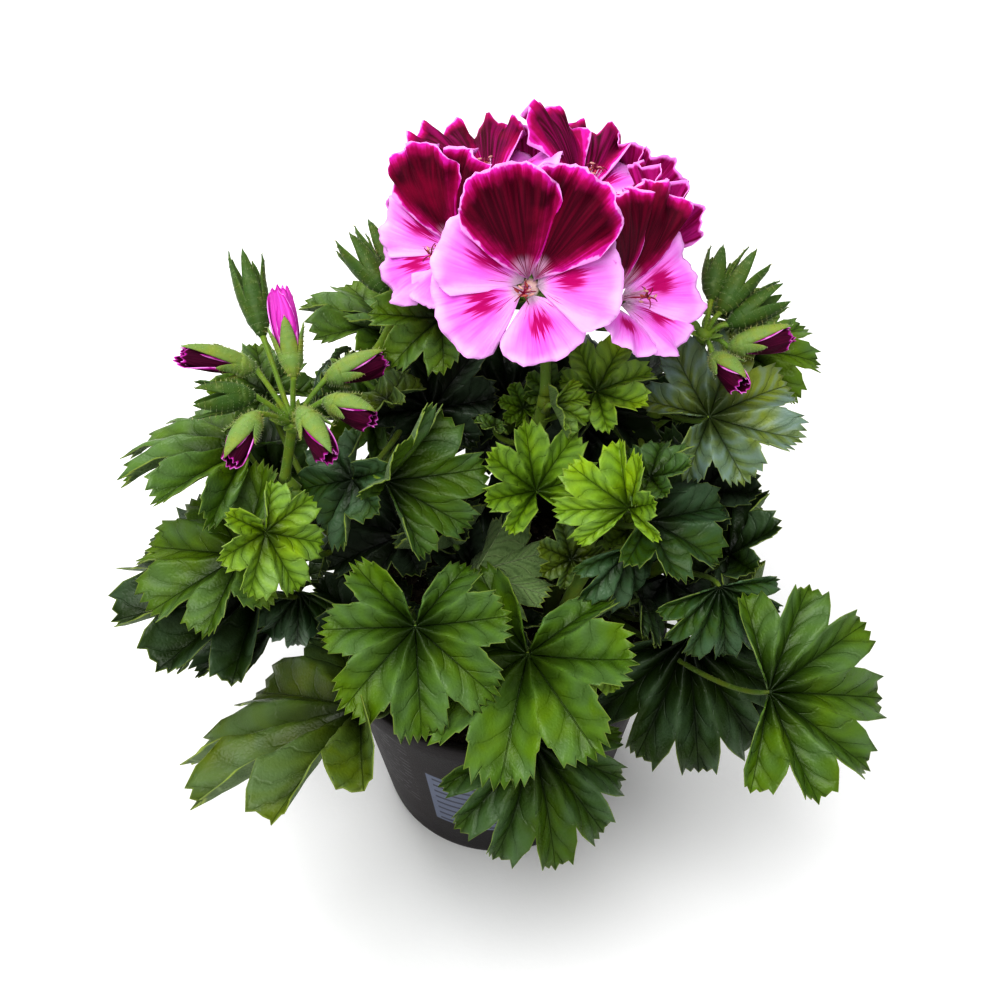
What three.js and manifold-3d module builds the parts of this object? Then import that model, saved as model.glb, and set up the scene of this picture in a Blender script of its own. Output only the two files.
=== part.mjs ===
// Potted regal pelargonium: a thin plastic pot filled with soil, eleven leafy stems,
// one dome of nine two-coloured blooms and three clusters of buds.
// Millimetres, +Z up. The origin is the middle of the pot's underside.
import * as THREE from 'three';
import { mergeVertices } from 'three/addons/utils/BufferGeometryUtils.js';
import Module from 'manifold-3d';

// Driving dimensions, in millimetres
const GAP = 0.3;
const POT = { height: 102, rim: 65, base: 47, wall: 1.4, floor: 1.6, lip: 9, lipOut: 2.2 };
const ROUND = 24;
const DRAINS = 4;
const SOIL = { top: 95, mound: 2.5, hole: 26, loose: 1.5 };
const BLADE = 0.8;
const STEM_RADIUS = 2.7;
const PETIOLE_RADIUS = 1.2;
const PEDUNCLE_RADIUS = 1.8;
const PEDICEL_RADIUS = 1.0;
const KNOB = 3.4;

// A leaf has seven lobes, each round a vein; in a full leaf the veins lie 48 degrees apart.
// A leaf shorter than YOUNG_LEAF has fewer points round its margin.
const VEIN_STEP = 48;
const LEAF_EDGE = 168;
const YOUNG_LEAF = 36;

// How the blades are held: cup, fold along the middle vein, droop of the tip (radians),
// and the waves of the margin, as shares of the leaf's length, and how far round the
// blade reaches, as a share of a full leaf
const HABITS = {
  open: { cup: 0.08, fold: 0.05, droop: 0.45, wave: 0.10, span: 0.95 },
  round: { cup: 0.10, fold: 0.0, droop: 0.2, wave: 0.05, span: 1 },
  wide: { cup: 0.02, fold: 0.04, droop: 0.3, wave: 0.06, span: 0.72 },
  arched: { cup: -0.08, fold: -0.15, droop: 0.9, wave: 0.05, span: 0.7 },
  hanging: { cup: -0.04, fold: -0.10, droop: 0.6, wave: 0.05, span: 0.55 },
  cupped: { cup: 0.28, fold: 0.12, droop: 0.0, wave: 0.07, span: 0.9 },
  folded: { cup: 0.05, fold: 0.75, droop: 0.25, wave: 0.06, span: 0.8 },
};

// Leafy stems: where each leaves the soil and where it ends
const STEMS = {
  front_left: { foot: [-22, -18], top: [-34, -30, 142] },
  front: { foot: [3, -24], top: [4, -36, 150] },
  front_right: { foot: [20, -16], top: [36, -26, 172] },
  right: { foot: [34, -2], top: [66, -14, 152] },
  left: { foot: [-36, 0], top: [-72, -12, 190] },
  centre_left: { foot: [-12, -2], top: [-20, -2, 176] },
  centre: { foot: [4, 4], top: [16, 6, 212] },
  centre_right: { foot: [20, 2], top: [44, -14, 186] },
  back_left: { foot: [-18, 18], top: [-42, 34, 206] },
  back_right: { foot: [22, 20], top: [66, 24, 204] },
  back: { foot: [0, 32], top: [8, 58, 186] },
};

// Each leaf: its stem, where the leaf stalk meets the blade, where the middle lobe ends,
// the blade's turn about that line in degrees, and how it is held
const LEAVES = [
  ['front_left', [-27, -59, 170], [-25, -85, 146], 0, 'open'],
  ['front_left', [-46, -74, 145], [-101, -78, 114], -22, 'wide'],
  ['front_left', [-45, -28, 130], [-66, -22, 142], 0, 'open'],
  ['front', [10, -59, 155], [2, -96, 134], -6, 'open'],
  ['front', [31, -54, 146], [30, -60, 132], 0, 'round'],
  ['front', [12, -70, 119], [20, -99, 84], 8, 'hanging'],
  ['front', [-7, -30, 163], [4, -13, 176], 200, 'folded'],
  ['front', [-10, -8, 136], [-11, 3, 152], 0, 'open'],
  ['front', [-5, -28, 152], [-4, -30, 140], 20, 'arched'],
  ['front', [-6, -34, 136], [-26, -51, 124], 0, 'open'],
  ['left', [-85, -13, 109], [-120, -8, 91], -35, 'arched'],
  ['left', [-71, -21, 140], [-74, -26, 112], 30, 'hanging'],
  ['left', [-73, -49, 206], [-66, -56, 187], 0, 'round'],
  ['left', [-87, -31, 173], [-117, -18, 157], 15, 'open'],
  ['left', [-83, -26, 150], [-131, -5, 138], 5, 'wide'],
  ['left', [-87, 5, 187], [-131, 16, 179], -20, 'arched'],
  ['left', [-81, 24, 196], [-100, 33, 200], 0, 'round'],
  ['left', [-83, 24, 152], [-90, 42, 164], 0, 'open'],
  ['right', [68, -34, 130], [73, -64, 90], -10, 'hanging'],
  ['right', [91, -69, 147], [132, -61, 132], -30, 'wide'],
  ['right', [75, -39, 166], [79, -50, 139], -5, 'hanging'],
  ['right', [101, -26, 118], [89, -50, 92], -20, 'hanging'],
  ['right', [91, -29, 139], [95, -20, 155], 60, 'folded'],
  ['right', [81, -19, 158], [96, -4, 170], 35, 'open'],
  ['right', [72, 4, 166], [91, 12, 182], 0, 'open'],
  ['right', [62, -8, 132], [83, -20, 122], 0, 'open'],
  ['front_right', [44, -29, 174], [47, -32, 149], 0, 'arched'],
  ['front_right', [50, -29, 146], [57, -27, 128], 0, 'arched'],
  ['front_right', [25, -32, 172], [21, -24, 182], 10, 'round'],
  ['back_left', [-48, -20, 199], [-57, -27, 179], -8, 'open'],
  ['back_left', [-36, -29, 208], [-20, -7, 218], -70, 'folded'],
  ['back_left', [-41, 61, 195], [-70, 66, 193], -10, 'open'],
  ['back_left', [-19, 27, 228], [-35, 10, 222], 10, 'open'],
  ['back_left', [-38, 14, 202], [-53, 17, 192], -20, 'open'],
  ['back_left', [-59, 36, 200], [-65, 31, 184], -50, 'arched'],
  ['back_left', [-24, 28, 184], [-28, 54, 192], 0, 'open'],
  ['back_left', [-46, 32, 176], [-68, 46, 180], 0, 'open'],
  ['centre_left', [-14, -13, 191], [-34, -19, 183], -40, 'arched'],
  ['centre_left', [-15, -25, 173], [-34, -22, 166], -20, 'cupped'],
  ['centre_left', [-34, -8, 156], [-58, -16, 146], 0, 'open'],
  ['back_left', [-32, 51, 142], [-34, 31, 132], 0, 'open'],
  ['centre', [13, -19, 192], [8, -3, 208], 0, 'cupped'],
  ['centre', [33, 6, 214], [52, 10, 218], -10, 'open'],
  ['centre', [18, -4, 218], [22, -13, 211], 40, 'folded'],
  ['centre', [9, 15, 197], [5, 21, 203], 20, 'round'],
  ['centre', [18, 16, 204], [17, 22, 213], 0, 'round'],
  ['centre', [-1, 1, 202], [-8, 1, 204], -20, 'round'],
  ['centre', [-6, 22, 142], [-13, 3, 126], 0, 'open'],
  ['back', [-2, 50, 152], [-6, 23, 154], 0, 'open'],
  ['centre_right', [43, -31, 197], [40, -16, 213], 40, 'folded'],
  ['centre_right', [47, 1, 147], [56, -8, 142], 0, 'round'],
  ['centre_right', [51, -26, 185], [74, -14, 175], -20, 'open'],
  ['centre_right', [38, 9, 122], [55, -12, 116], 0, 'open'],
  ['back_right', [50, -23, 203], [64, -16, 208], 20, 'open'],
  ['back_right', [74, 13, 153], [80, 32, 174], 20, 'open'],
  ['back_right', [72, 6, 202], [100, 20, 203], -20, 'open'],
  ['back_right', [88, 43, 197], [115, 40, 195], -15, 'arched'],
  ['back_right', [82, 48, 208], [98, 47, 210], -5, 'open'],
  ['back_right', [68, 26, 194], [83, 32, 198], -10, 'open'],
  ['back_right', [38, 30, 182], [40, 64, 182], 0, 'open'],
  ['back_right', [60, 41, 148], [73, 56, 164], 0, 'open'],
  ['back_right', [32, 34, 168], [36, 14, 158], 0, 'open'],
  ['back', [4, 44, 174], [0, 70, 182], 0, 'open'],
];

const RING_SEED = 14;
// Leaves in rings about the pot's axis, round the back of the plant: azimuths in
// degrees from +X towards +Y, where the leaf stalk meets the blade, and the blade's dip
const RINGS = [
  { count: 4, azimuths: [35, 150], radius: 64, height: 122, length: 36, dip: 55, habit: 'wide' },
  { count: 3, azimuths: [55, 125], radius: 70, height: 160, length: 32, dip: 35, habit: 'open' },
  { count: 2, azimuths: [75, 120], radius: 66, height: 198, length: 28, dip: 20, habit: 'open' },
];

const wasm = await Module();
wasm.setup();

const radians = (degrees) => degrees * Math.PI / 180;
const vec = (list) => new THREE.Vector3(...list);
const clamp = (x, low, high) => Math.min(high, Math.max(low, x));

function smoothstep(low, high, x) {
  const t = clamp((x - low) / (high - low), 0, 1);
  return t * t * (3 - 2 * t);
}

// Park and Miller's generator, so that every draw is the same each time
function seeded(seed) {
  let state = seed;
  return () => {
    state = (state * 16807) % 2147483647;
    return state / 2147483647;
  };
}

// Turns a closed mesh into a solid, with its faces pointing out
function solid(geometry) {
  const bare = new THREE.BufferGeometry();
  bare.setAttribute('position', geometry.getAttribute('position'));
  if (geometry.index) bare.setIndex(geometry.index);
  const merged = mergeVertices(bare, 1e-4);
  const points = merged.getAttribute('position').array;
  const faces = Array.from(merged.index.array);
  let volume = 0;
  const corner = (i) => new THREE.Vector3(points[3 * i], points[3 * i + 1], points[3 * i + 2]);
  const kept = [];
  for (let f = 0; f < faces.length; f += 3) {
    const [a, b, c] = faces.slice(f, f + 3);
    if (a === b || b === c || c === a) continue;
    volume += corner(a).dot(corner(b).cross(corner(c)));
    kept.push([a, b, c]);
  }
  const triangles = kept.flatMap(([a, b, c]) => (volume > 0 ? [a, b, c] : [a, c, b]));
  return new wasm.Manifold(new wasm.Mesh({
    numProp: 3,
    vertProperties: new Float32Array(points),
    triVerts: new Uint32Array(triangles),
  }));
}

const fuse = (solids) => wasm.Manifold.union(solids);

function meet(one, other) {
  const [a, b] = [one.boundingBox(), other.boundingBox()];
  return [0, 1, 2].every((i) => a.min[i] < b.max[i] && b.min[i] < a.max[i]);
}

// Cuts a blade back where it would pass through a neighbour, and keeps what its root holds
function cutBack(blade, root, neighbours) {
  const near = neighbours.filter((other) => meet(blade, other));
  if (near.length === 0) return blade;
  const pieces = blade.subtract(fuse(near)).decompose();
  const held = pieces.filter((piece) => piece.intersect(root).volume() > 0);
  return held.reduce((best, piece) => (piece.volume() > best.volume() ? piece : best));
}

function meshOf(name, body, material) {
  const mesh = body.getMesh();
  const geometry = new THREE.BufferGeometry();
  geometry.setAttribute('position', new THREE.BufferAttribute(mesh.vertProperties, 3));
  geometry.setIndex(new THREE.BufferAttribute(mesh.triVerts, 1));
  geometry.computeVertexNormals();
  const result = new THREE.Mesh(geometry, material);
  result.name = name;
  return result;
}

function tube(points, radius, sides, steps) {
  const section = new THREE.Shape();
  for (let i = 0; i < sides; i++) {
    const angle = 2 * Math.PI * (i + 0.5) / sides;
    const [x, y] = [radius * Math.cos(angle), radius * Math.sin(angle)];
    if (i === 0) section.moveTo(x, y);
    else section.lineTo(x, y);
  }
  const path = new THREE.CatmullRomCurve3(points);
  const options = { steps, bevelEnabled: false, extrudePath: path };
  return solid(new THREE.ExtrudeGeometry(section, options));
}

// A round body about +Z from a profile of [radius, height]
function turned(profile, segments) {
  const points = profile.map(([radius, height]) => new THREE.Vector2(radius, height));
  return new THREE.LatheGeometry(points, segments).rotateX(Math.PI / 2);
}

// Thickens a surface of points and triangles into a closed blade, split alike on both faces,
// or into the room that other nodes leave for it, larger by a gap all round
function thicken(points, faces, gap) {
  const normals = points.map(() => new THREE.Vector3());
  const outward = points.map(() => new THREE.Vector3());
  const edges = new Map();
  for (const face of faces) {
    const [a, b, c] = face.map((i) => points[i]);
    const normal = b.clone().sub(a).cross(c.clone().sub(a));
    face.forEach((i) => normals[i].add(normal));
    for (let k = 0; k < 3; k++) {
      const [from, to] = [face[k], face[(k + 1) % 3]];
      const opposite = `${to}:${from}`;
      if (edges.has(opposite)) edges.delete(opposite);
      else edges.set(`${from}:${to}`, [from, to]);
    }
  }
  for (const [from, to] of edges.values()) {
    const edge = points[to].clone().sub(points[from]);
    for (const i of [from, to]) outward[i].add(edge.clone().cross(normals[i]).normalize());
  }
  const count = points.length;
  const coordinates = [];
  for (const side of [1, -1]) {
    points.forEach((point, i) => {
      const corner = point.clone()
        .addScaledVector(normals[i].clone().normalize(), side * (BLADE / 2 + gap))
        .addScaledVector(outward[i].clone().normalize(), gap);
      coordinates.push(...corner.toArray());
    });
  }
  const index = [];
  for (const [a, b, c] of faces) {
    index.push(a, b, c, a + count, c + count, b + count);
  }
  for (const [from, to] of edges.values()) {
    index.push(from, from + count, to + count, from, to + count, to);
  }
  const geometry = new THREE.BufferGeometry();
  geometry.setAttribute('position', new THREE.Float32BufferAttribute(coordinates, 3));
  geometry.setIndex(index);
  return solid(geometry);
}

// A blade spread like a fan round its foot: surface(share, angle) gives each point.
// A large blade has a ring of points half way out, on every stride-th spoke.
function fan(surface, angles, stride, middle, gap) {
  const points = [surface(0, 0)];
  const ring = (share, list) => list.map((angle) => points.push(surface(share, angle)) - 1);
  const inner = middle ? ring(middle, angles.filter((angle, i) => i % stride === 0)) : [];
  const outer = ring(1, angles);
  const faces = [];
  const half = Math.ceil(stride / 2);
  for (let i = 0; i + 1 < inner.length; i++) {
    const [near, next, first] = [inner[i], inner[i + 1], i * stride];
    faces.push([0, next, near], [near, next, outer[first + half]]);
    for (let k = 0; k < stride; k++) {
      faces.push([k < half ? near : next, outer[first + k + 1], outer[first + k]]);
    }
  }
  if (!middle) outer.slice(1).forEach((next, i) => faces.push([0, next, outer[i]]));
  return thicken(points, faces, gap);
}

const spread = (edge, step) => {
  const angles = [];
  for (let angle = -edge; angle <= edge + 0.001; angle += step) angles.push(angle);
  return angles;
};

// A frame of three axes from a line and a turn about it; the third axis faces up
function frameAlong(from, to, turn) {
  const y = to.clone().sub(from).normalize();
  const level = new THREE.Vector3(0, 0, 1);
  const x = y.clone().cross(level).normalize();
  const z = x.clone().cross(y);
  const [cos, sin] = [Math.cos(radians(turn)), Math.sin(radians(turn))];
  return {
    x: x.clone().multiplyScalar(cos).addScaledVector(z, sin),
    y,
    z: z.clone().multiplyScalar(cos).addScaledVector(x, -sin),
  };
}

const inFrame = (origin, frame, x, y, z) => origin.clone()
  .addScaledVector(frame.x, x).addScaledVector(frame.y, y).addScaledVector(frame.z, z);

// How far apart the points of a leaf's margin lie: fewer on the young leaves
function marginStep(size) {
  return size > YOUNG_LEAF ? VEIN_STEP / 4 : VEIN_STEP / 2;
}

// Outline of a leaf: distance from the leaf stalk to the margin, as a share of its length
function leafReach(degrees, step) {
  const notch = 0.5 - 0.5 * Math.cos(2 * Math.PI * degrees / VEIN_STEP);
  const lobes = 1 - 0.28 * notch ** 5;
  const teeth = 1 + 0.05 * Math.cos(Math.PI * degrees / step);
  const turnBack = 0.86 + 0.14 * Math.cos(radians(degrees));
  const sinus = 1 - 0.45 * smoothstep(150, LEAF_EDGE, Math.abs(degrees));
  return lobes * teeth * turnBack * sinus;
}

// A point on a leaf's middle surface, in the blade's own frame
function leafSurface(leaf, share, degrees) {
  const { cup, fold, droop, wave, span } = HABITS[leaf.habit];
  const angle = radians(degrees * span);
  const arc = droop ? leaf.size * (droop / 2) / Math.sin(droop / 2) : leaf.size;
  const reach = share * arc * leafReach(degrees, marginStep(leaf.size));
  const [x, y] = [reach * Math.sin(angle), reach * Math.cos(angle)];
  const ridge = 0.5 - 0.5 * Math.cos(2 * Math.PI * degrees / VEIN_STEP);
  const ripple = Math.sin(3 * angle + leaf.phase) * share ** 3;
  let z = arc * (cup * share ** 2 + 0.1 * ridge * share + wave * ripple);
  z += fold * Math.abs(x);
  return [x, ...bent(y, z, arc, droop)];
}

// Bends a length along y through an angle and keeps its end on the y axis
function bent(y, z, length, angle) {
  if (!angle) return [y, z];
  const rate = angle / length;
  const [cos, sin] = [Math.cos(rate * y), Math.sin(rate * y)];
  const along = sin / rate + z * sin;
  const above = (cos - 1) / rate + z * cos;
  const [chordCos, chordSin] = [Math.cos(angle / 2), Math.sin(angle / 2)];
  return [along * chordCos - above * chordSin, along * chordSin + above * chordCos];
}

function stemPath({ foot, top }) {
  const [x, y] = foot;
  const low = SOIL.top - SOIL.hole + GAP;
  const side = [(x + top[0]) / 2, (y + top[1]) / 2];
  return [
    vec([x, y, low]),
    vec([x, y, SOIL.top - 8]),
    vec([x, y, SOIL.top + 4]),
    vec([x + 0.7 * (side[0] - x), y + 0.7 * (side[1] - y), (SOIL.top + top[2]) / 2]),
    vec(top),
  ];
}

// Where a leaf stalk leaves its stem: a little lower than the blade that it carries
function stalkRoot(path, blade) {
  const curve = new THREE.CatmullRomCurve3(path);
  const samples = curve.getPoints(40).filter((point) => point.z > POT.height + 5);
  const wanted = (point) => blade.z - 6 - 0.45 * Math.hypot(blade.x - point.x, blade.y - point.y);
  return samples.reduce((best, point) => (
    Math.abs(point.z - wanted(point)) < Math.abs(best.z - wanted(best)) ? point : best));
}

function leafStalk(path, { joint, frame }, radius) {
  const root = stalkRoot(path, joint);
  const length = root.distanceTo(joint);
  const outward = joint.clone().sub(root).setZ(0).normalize();
  const leave = root.clone().addScaledVector(outward, 0.35 * length);
  leave.z += 0.12 * length;
  const arrive = inFrame(joint, frame, 0, -0.05 * length, -0.25 * length);
  const curve = new THREE.CubicBezierCurve3(root, leave, arrive, joint);
  return tube(curve.getPoints(4), radius, 3, 2);
}

function leafBlade(leaf, gap) {
  const surface = (share, degrees) => (
    inFrame(leaf.joint, leaf.frame, ...leafSurface(leaf, share, degrees)));
  const step = marginStep(leaf.size);
  const middle = leaf.size > YOUNG_LEAF ? 0.5 : 0;
  return fan(surface, spread(LEAF_EDGE, step), VEIN_STEP / step, middle, gap);
}

const draw = seeded(11);
const ringDraw = seeded(RING_SEED);
const between = ([low, high]) => low + (high - low) * ringDraw();

function leafFrom([stem, joint, tip, turn, habit]) {
  const [from, to] = [vec(joint), vec(tip)];
  return {
    stem,
    habit,
    joint: from,
    size: from.distanceTo(to),
    frame: frameAlong(from, to, turn),
    phase: 6 * draw(),
  };
}

// The stem whose top stands nearest to a point
function nearestStem([x, y]) {
  const away = ([, { top }]) => Math.hypot(top[0] - x, top[1] - y);
  return Object.entries(STEMS).reduce((best, each) => (away(each) < away(best) ? each : best))[0];
}

function ringLeaf(ring, i) {
  const [start, end] = ring.azimuths;
  const azimuth = radians(start + (end - start) * i / (ring.count - 1) + between([-6, 6]));
  const dip = radians(ring.dip + between([-10, 10]));
  const out = (distance, height) => [
    distance * Math.cos(azimuth), distance * Math.sin(azimuth), height];
  const joint = out(ring.radius, ring.height + between([-5, 5]));
  const reach = ring.length * between([0.85, 1.1]);
  const tip = out(ring.radius + reach * Math.cos(dip), joint[2] - reach * Math.sin(dip));
  return leafFrom([nearestStem(joint), joint, tip, between([-25, 25]), ring.habit]);
}

const leaves = LEAVES.map(leafFrom);
for (const ring of RINGS) {
  for (let i = 0; i < ring.count; i++) leaves.push(ringLeaf(ring, i));
}

// The flower head: where its stalks part, and each bloom's throat, the way it faces, the
// way its upper petals point, the turns of its lower petals from those, and its size
const HEAD = { stem: 'centre', joint: [16, 24, 234] };
const BLOOMS = [
  [[9, -4, 269], [-0.1, -0.7, 0.7], [0.2, 0.5, 1], [-61, -116, 66, 143], 1],
  [[-17, 20, 263], [-0.6, -0.45, 0.65], [0.4, 0.6, 0.6], [-66, -120, 172], 0.87],
  [[43, 4, 259], [0.65, -0.4, 0.75], [-0.25, 0.85, 0.95], [82, 128, -150], 0.87],
  [[-4, 52, 268], [-0.2, 0.45, 0.85], [-0.3, 0.9, -0.5], [-66, 72, 180], 0.85],
  [[30, 52, 266], [0.25, 0.4, 0.85], [-0.5, 0.85, -0.5], [58, 112, -140], 0.85],
  [[51, 38, 247], [0.7, 0.45, 0.2], [0.1, 0.15, 1], [-118, 118, 178], 0.75],
  [[-18, 52, 242], [-0.6, 0.7, 0.3], [-0.05, -0.1, 1.05], [-110, 108, 182], 0.75],
  [[11, 72, 236], [-0.05, 1, 0.1], [0.25, 0.2, 0.65], [-113, 110, 177], 0.8],
  [[43, 67, 234], [0.6, 0.7, 0.1], [0.1, 0.1, 0.9], [-103, 105, 180], 0.8],
];
const PETAL = {
  upper: { length: 45, spread: 28, open: [21, 75], turns: [-22, 22], edge: 0.03 },
  lower: { length: 32, spread: 37, open: [34, 92], edge: 0.04 },
};
// Every other petal opens wider by this angle, so that neighbours lie over each other
const LAYER = 7;
const THROAT = 9;
const HUB = { radius: 3.4, height: 1.6, foot: 2.2, split: 1.5, drop: 0.8 };
const SEPAL = { depth: 8, neck: 3, reach: 7.5 };

// Clusters of buds: where their stalks part, the stem that carries them, and each bud's
// foot, tip and whether petals show
const BUD_RADIUS = 4.3;
const CLUSTERS = {
  left: {
    joint: [-67, -10, 215],
    stem: 'left',
    buds: [
      [[-65, -8, 235], [-70, 15, 252], 'open'],
      [[-77, 12, 234], [-85, 38, 248], 'shut'],
      [[-79, 2, 229], [-102, -2, 238], 'open'],
      [[-78, -11, 229], [-97, -17, 233], 'shut'],
      [[-76, -20, 230], [-84, -36, 224], 'open'],
      [[-62, -20, 232], [-52, -36, 226], 'open'],
      [[-55, -13, 229], [-39, -20, 227], 'open'],
      [[-56, 1, 225], [-37, 9, 226], 'open'],
    ],
  },
  right: {
    joint: [70, 25, 222],
    stem: 'back_right',
    buds: [
      [[72, 32, 232], [77, 50, 238], 'shut'],
      [[75, 28, 230], [89, 46, 240], 'shut'],
      [[78, 26, 226], [98, 36, 232], 'shut'],
      [[78, 20, 221], [99, 22, 225], 'open'],
      [[72, 15, 222], [81, 0, 222], 'open'],
    ],
  },
  back: {
    joint: [-34, 34, 224],
    stem: 'back_left',
    buds: [
      [[-38, 36, 232], [-52, 54, 240], 'shut'],
      [[-34, 42, 230], [-46, 66, 236], 'shut'],
    ],
  },
};

const COLORS = { upper: 0x6d0a2e, lower: 0xe79be8 };
const material = (color, roughness = 0.6) => (
  new THREE.MeshStandardMaterial({ color, roughness, metalness: 0 }));

// Pot and soil
function pot() {
  const { height, rim, base, wall, floor, lip, lipOut } = POT;
  const neck = rim - lipOut;
  const under = height - lip;
  const bodyAt = (z) => base + (neck - base) * z / height;
  const profile = [
    [0, 0], [base - 1, 0], [base, 1], [bodyAt(under), under], [rim, under],
    [rim, height - 0.8], [rim - 0.8, height], [rim - lipOut - wall, height],
    [bodyAt(under) - wall, under - 2], [base - wall, floor + 1], [base - wall - 1, floor],
    [0, floor],
  ];
  let body = solid(turned(profile, ROUND));
  for (let k = 0; k < DRAINS; k++) {
    const angle = 2 * Math.PI * (k + 0.5) / DRAINS;
    const [x, y] = [0.72 * base * Math.cos(angle), 0.72 * base * Math.sin(angle)];
    const hole = new THREE.CylinderGeometry(4, 4, 3 * floor, 8).rotateX(Math.PI / 2);
    body = body.subtract(solid(hole.translate(x, y, floor / 2)));
  }
  return body;
}

function soil() {
  const { height, rim, base, wall, floor, lip, lipOut } = POT;
  const under = height - lip;
  const neck = rim - lipOut;
  const wallAt = (z) => base + (neck - base) * z / height - wall - 2 * GAP;
  const edge = SOIL.top - SOIL.mound;
  const rings = [0.4, 0.78];
  const profile = [
    [0, floor + GAP], [base - wall - 2, floor + GAP], [wallAt(floor + 2), floor + 2],
    [wallAt(under - 3), under - 3], [wallAt(edge), edge],
    ...rings.toReversed().map((share) => [share * wallAt(edge), SOIL.top]),
    [0, SOIL.top],
  ];
  const geometry = turned(profile, ROUND);
  const points = geometry.getAttribute('position');
  for (let i = 0; i < points.count; i++) {
    const [x, y, z] = [points.getX(i), points.getY(i), points.getZ(i)];
    const lumps = Math.sin(0.31 * x + 1) * Math.cos(0.27 * y) + 0.6 * Math.sin(0.6 * x - 0.5 * y);
    if (z > edge + 0.1) points.setZ(i, z + 0.9 * lumps);
  }
  let body = solid(geometry);
  for (const { foot } of Object.values(STEMS)) {
    const radius = STEM_RADIUS + SOIL.loose;
    const hole = new THREE.CylinderGeometry(radius, radius, SOIL.hole + 10, 6);
    hole.rotateX(Math.PI / 2).translate(...foot, SOIL.top - SOIL.hole / 2 + 5);
    body = body.subtract(solid(hole));
  }
  return body;
}

// Sets a body that was turned about +Z along a frame's y axis
function alongFrame(geometry, from, { x, y, z }) {
  const axes = new THREE.Matrix4().makeBasis(x, z.clone().negate(), y);
  return solid(geometry.applyMatrix4(axes).translate(...from.toArray()));
}

// Blooms: each stands on a green calyx, with its petals on a hub in two halves
function bloomFrom([throat, facing, upward, turns, size]) {
  const axis = vec(facing).normalize();
  const up = vec(upward);
  up.addScaledVector(axis, -up.dot(axis)).normalize();
  const side = up.clone().cross(axis);
  return { axis, throat: vec(throat), up, side, turns, size, phase: 6 * draw() };
}

function petalSurface(bloom, kind, turn, i, share, degrees) {
  const { spread: half, open, edge } = kind;
  const length = bloom.size * kind.length * (1 - 0.3 * smoothstep(100, 170, Math.abs(turn)));
  const phase = bloom.phase + 2 * i;
  const angle = radians(degrees);
  const round = 1 - 0.3 * Math.abs(degrees / half) ** 3;
  const claw = 0.45 + 0.55 * smoothstep(0, 0.45, share);
  const reach = share * length * round;
  const [x, y] = [claw * reach * Math.sin(angle), reach * Math.cos(angle)];
  const ruffle = Math.sin(6 * degrees / half + phase) * share ** 3;
  const z = length * (edge * ruffle + 0.1 * (x / length) ** 2);
  const [start, end] = open.map((angle) => radians(angle + LAYER * (i % 2)));
  const rate = (end - start) / length;
  const now = start + rate * y;
  const outward = HUB.foot + (Math.cos(start) - Math.cos(now)) / rate - z * Math.cos(now);
  const along = (Math.sin(now) - Math.sin(start)) / rate + z * Math.sin(now) - THROAT;
  const about = radians(turn);
  const radial = bloom.up.clone().multiplyScalar(Math.cos(about))
    .addScaledVector(bloom.side, Math.sin(about));
  const across = bloom.axis.clone().cross(radial);
  return bloom.throat.clone().addScaledVector(radial, outward)
    .addScaledVector(bloom.axis, along).addScaledVector(across, x);
}

function petals(bloom, half, gap) {
  const kind = PETAL[half];
  const angles = spread(kind.spread, kind.spread / 3);
  return (kind.turns ?? bloom.turns).map((turn, i) => fan(
    (share, degrees) => petalSurface(bloom, kind, turn, i, share, degrees),
    angles, 2, 0.55, gap));
}

const axesOf = (bloom) => ({
  x: bloom.side.clone().negate(),
  y: bloom.axis,
  z: bloom.up,
});

// Half of the hub that the petals grow from, cut clear of the other half
function hubHalf(bloom, side, gap) {
  const [radius, height] = [HUB.radius + gap, HUB.height + gap];
  const foot = bloom.throat.clone().addScaledVector(bloom.axis, -THROAT - HUB.drop);
  const profile = [[0, 0], [radius, 0], [radius, height], [0, height]];
  const disc = alongFrame(turned(profile, 8), foot, axesOf(bloom));
  const plane = bloom.up.clone().multiplyScalar(side).toArray();
  return disc.trimByPlane(plane, side * (foot.dot(bloom.up) + HUB.split) + GAP / 2 - gap);
}

// A cup with five pointed sepals: every other point of its rim is drawn in between two
function calyx(bloom) {
  const foot = bloom.throat.clone().addScaledVector(bloom.axis, -THROAT - HUB.drop - GAP);
  const { depth, neck, reach } = SEPAL;
  const profile = [[0, -depth], [reach, 0], [0, 0]];
  const geometry = turned(profile, 10);
  const points = geometry.getAttribute('position');
  for (let i = 0; i <= 10; i++) {
    const rim = i * profile.length + 1;
    const shrink = i % 2 ? neck / reach : 1;
    points.setXYZ(rim, shrink * points.getX(rim), shrink * points.getY(rim), points.getZ(rim));
  }
  return alongFrame(geometry, foot, axesOf(bloom));
}

// A bud: petals rolled up in a green cup, whose sepals reach further up on its upper side
function budFrom([foot, tip, shows]) {
  const [from, to] = [vec(foot), vec(tip)];
  return { from, length: from.distanceTo(to), frame: frameAlong(from, to, 0), shows };
}

function openCup({ from, length, frame }) {
  const [inner, outer] = [BUD_RADIUS, BUD_RADIUS + BLADE];
  const profile = [[0, -0.5], [outer, 0.2 * length], [outer, length], [inner, length],
    [inner, 0.2 * length], [0, 0.16 * length]];
  const geometry = turned(profile, 7);
  const points = geometry.getAttribute('position');
  for (let i = 0; i < points.count; i++) {
    const [x, y, z] = [points.getX(i), points.getY(i), points.getZ(i)];
    if (z < 0.9 * length) continue;
    const under = 0.5 + 0.5 * y / Math.hypot(x, y);
    const tooth = Math.abs(Math.abs(x) - 0.7 * Math.hypot(x, y)) < 1 ? 0.3 : 0;
    points.setZ(i, length * (0.4 + (1 - under) * (0.25 + tooth)));
  }
  return alongFrame(geometry, from, frame);
}

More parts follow.
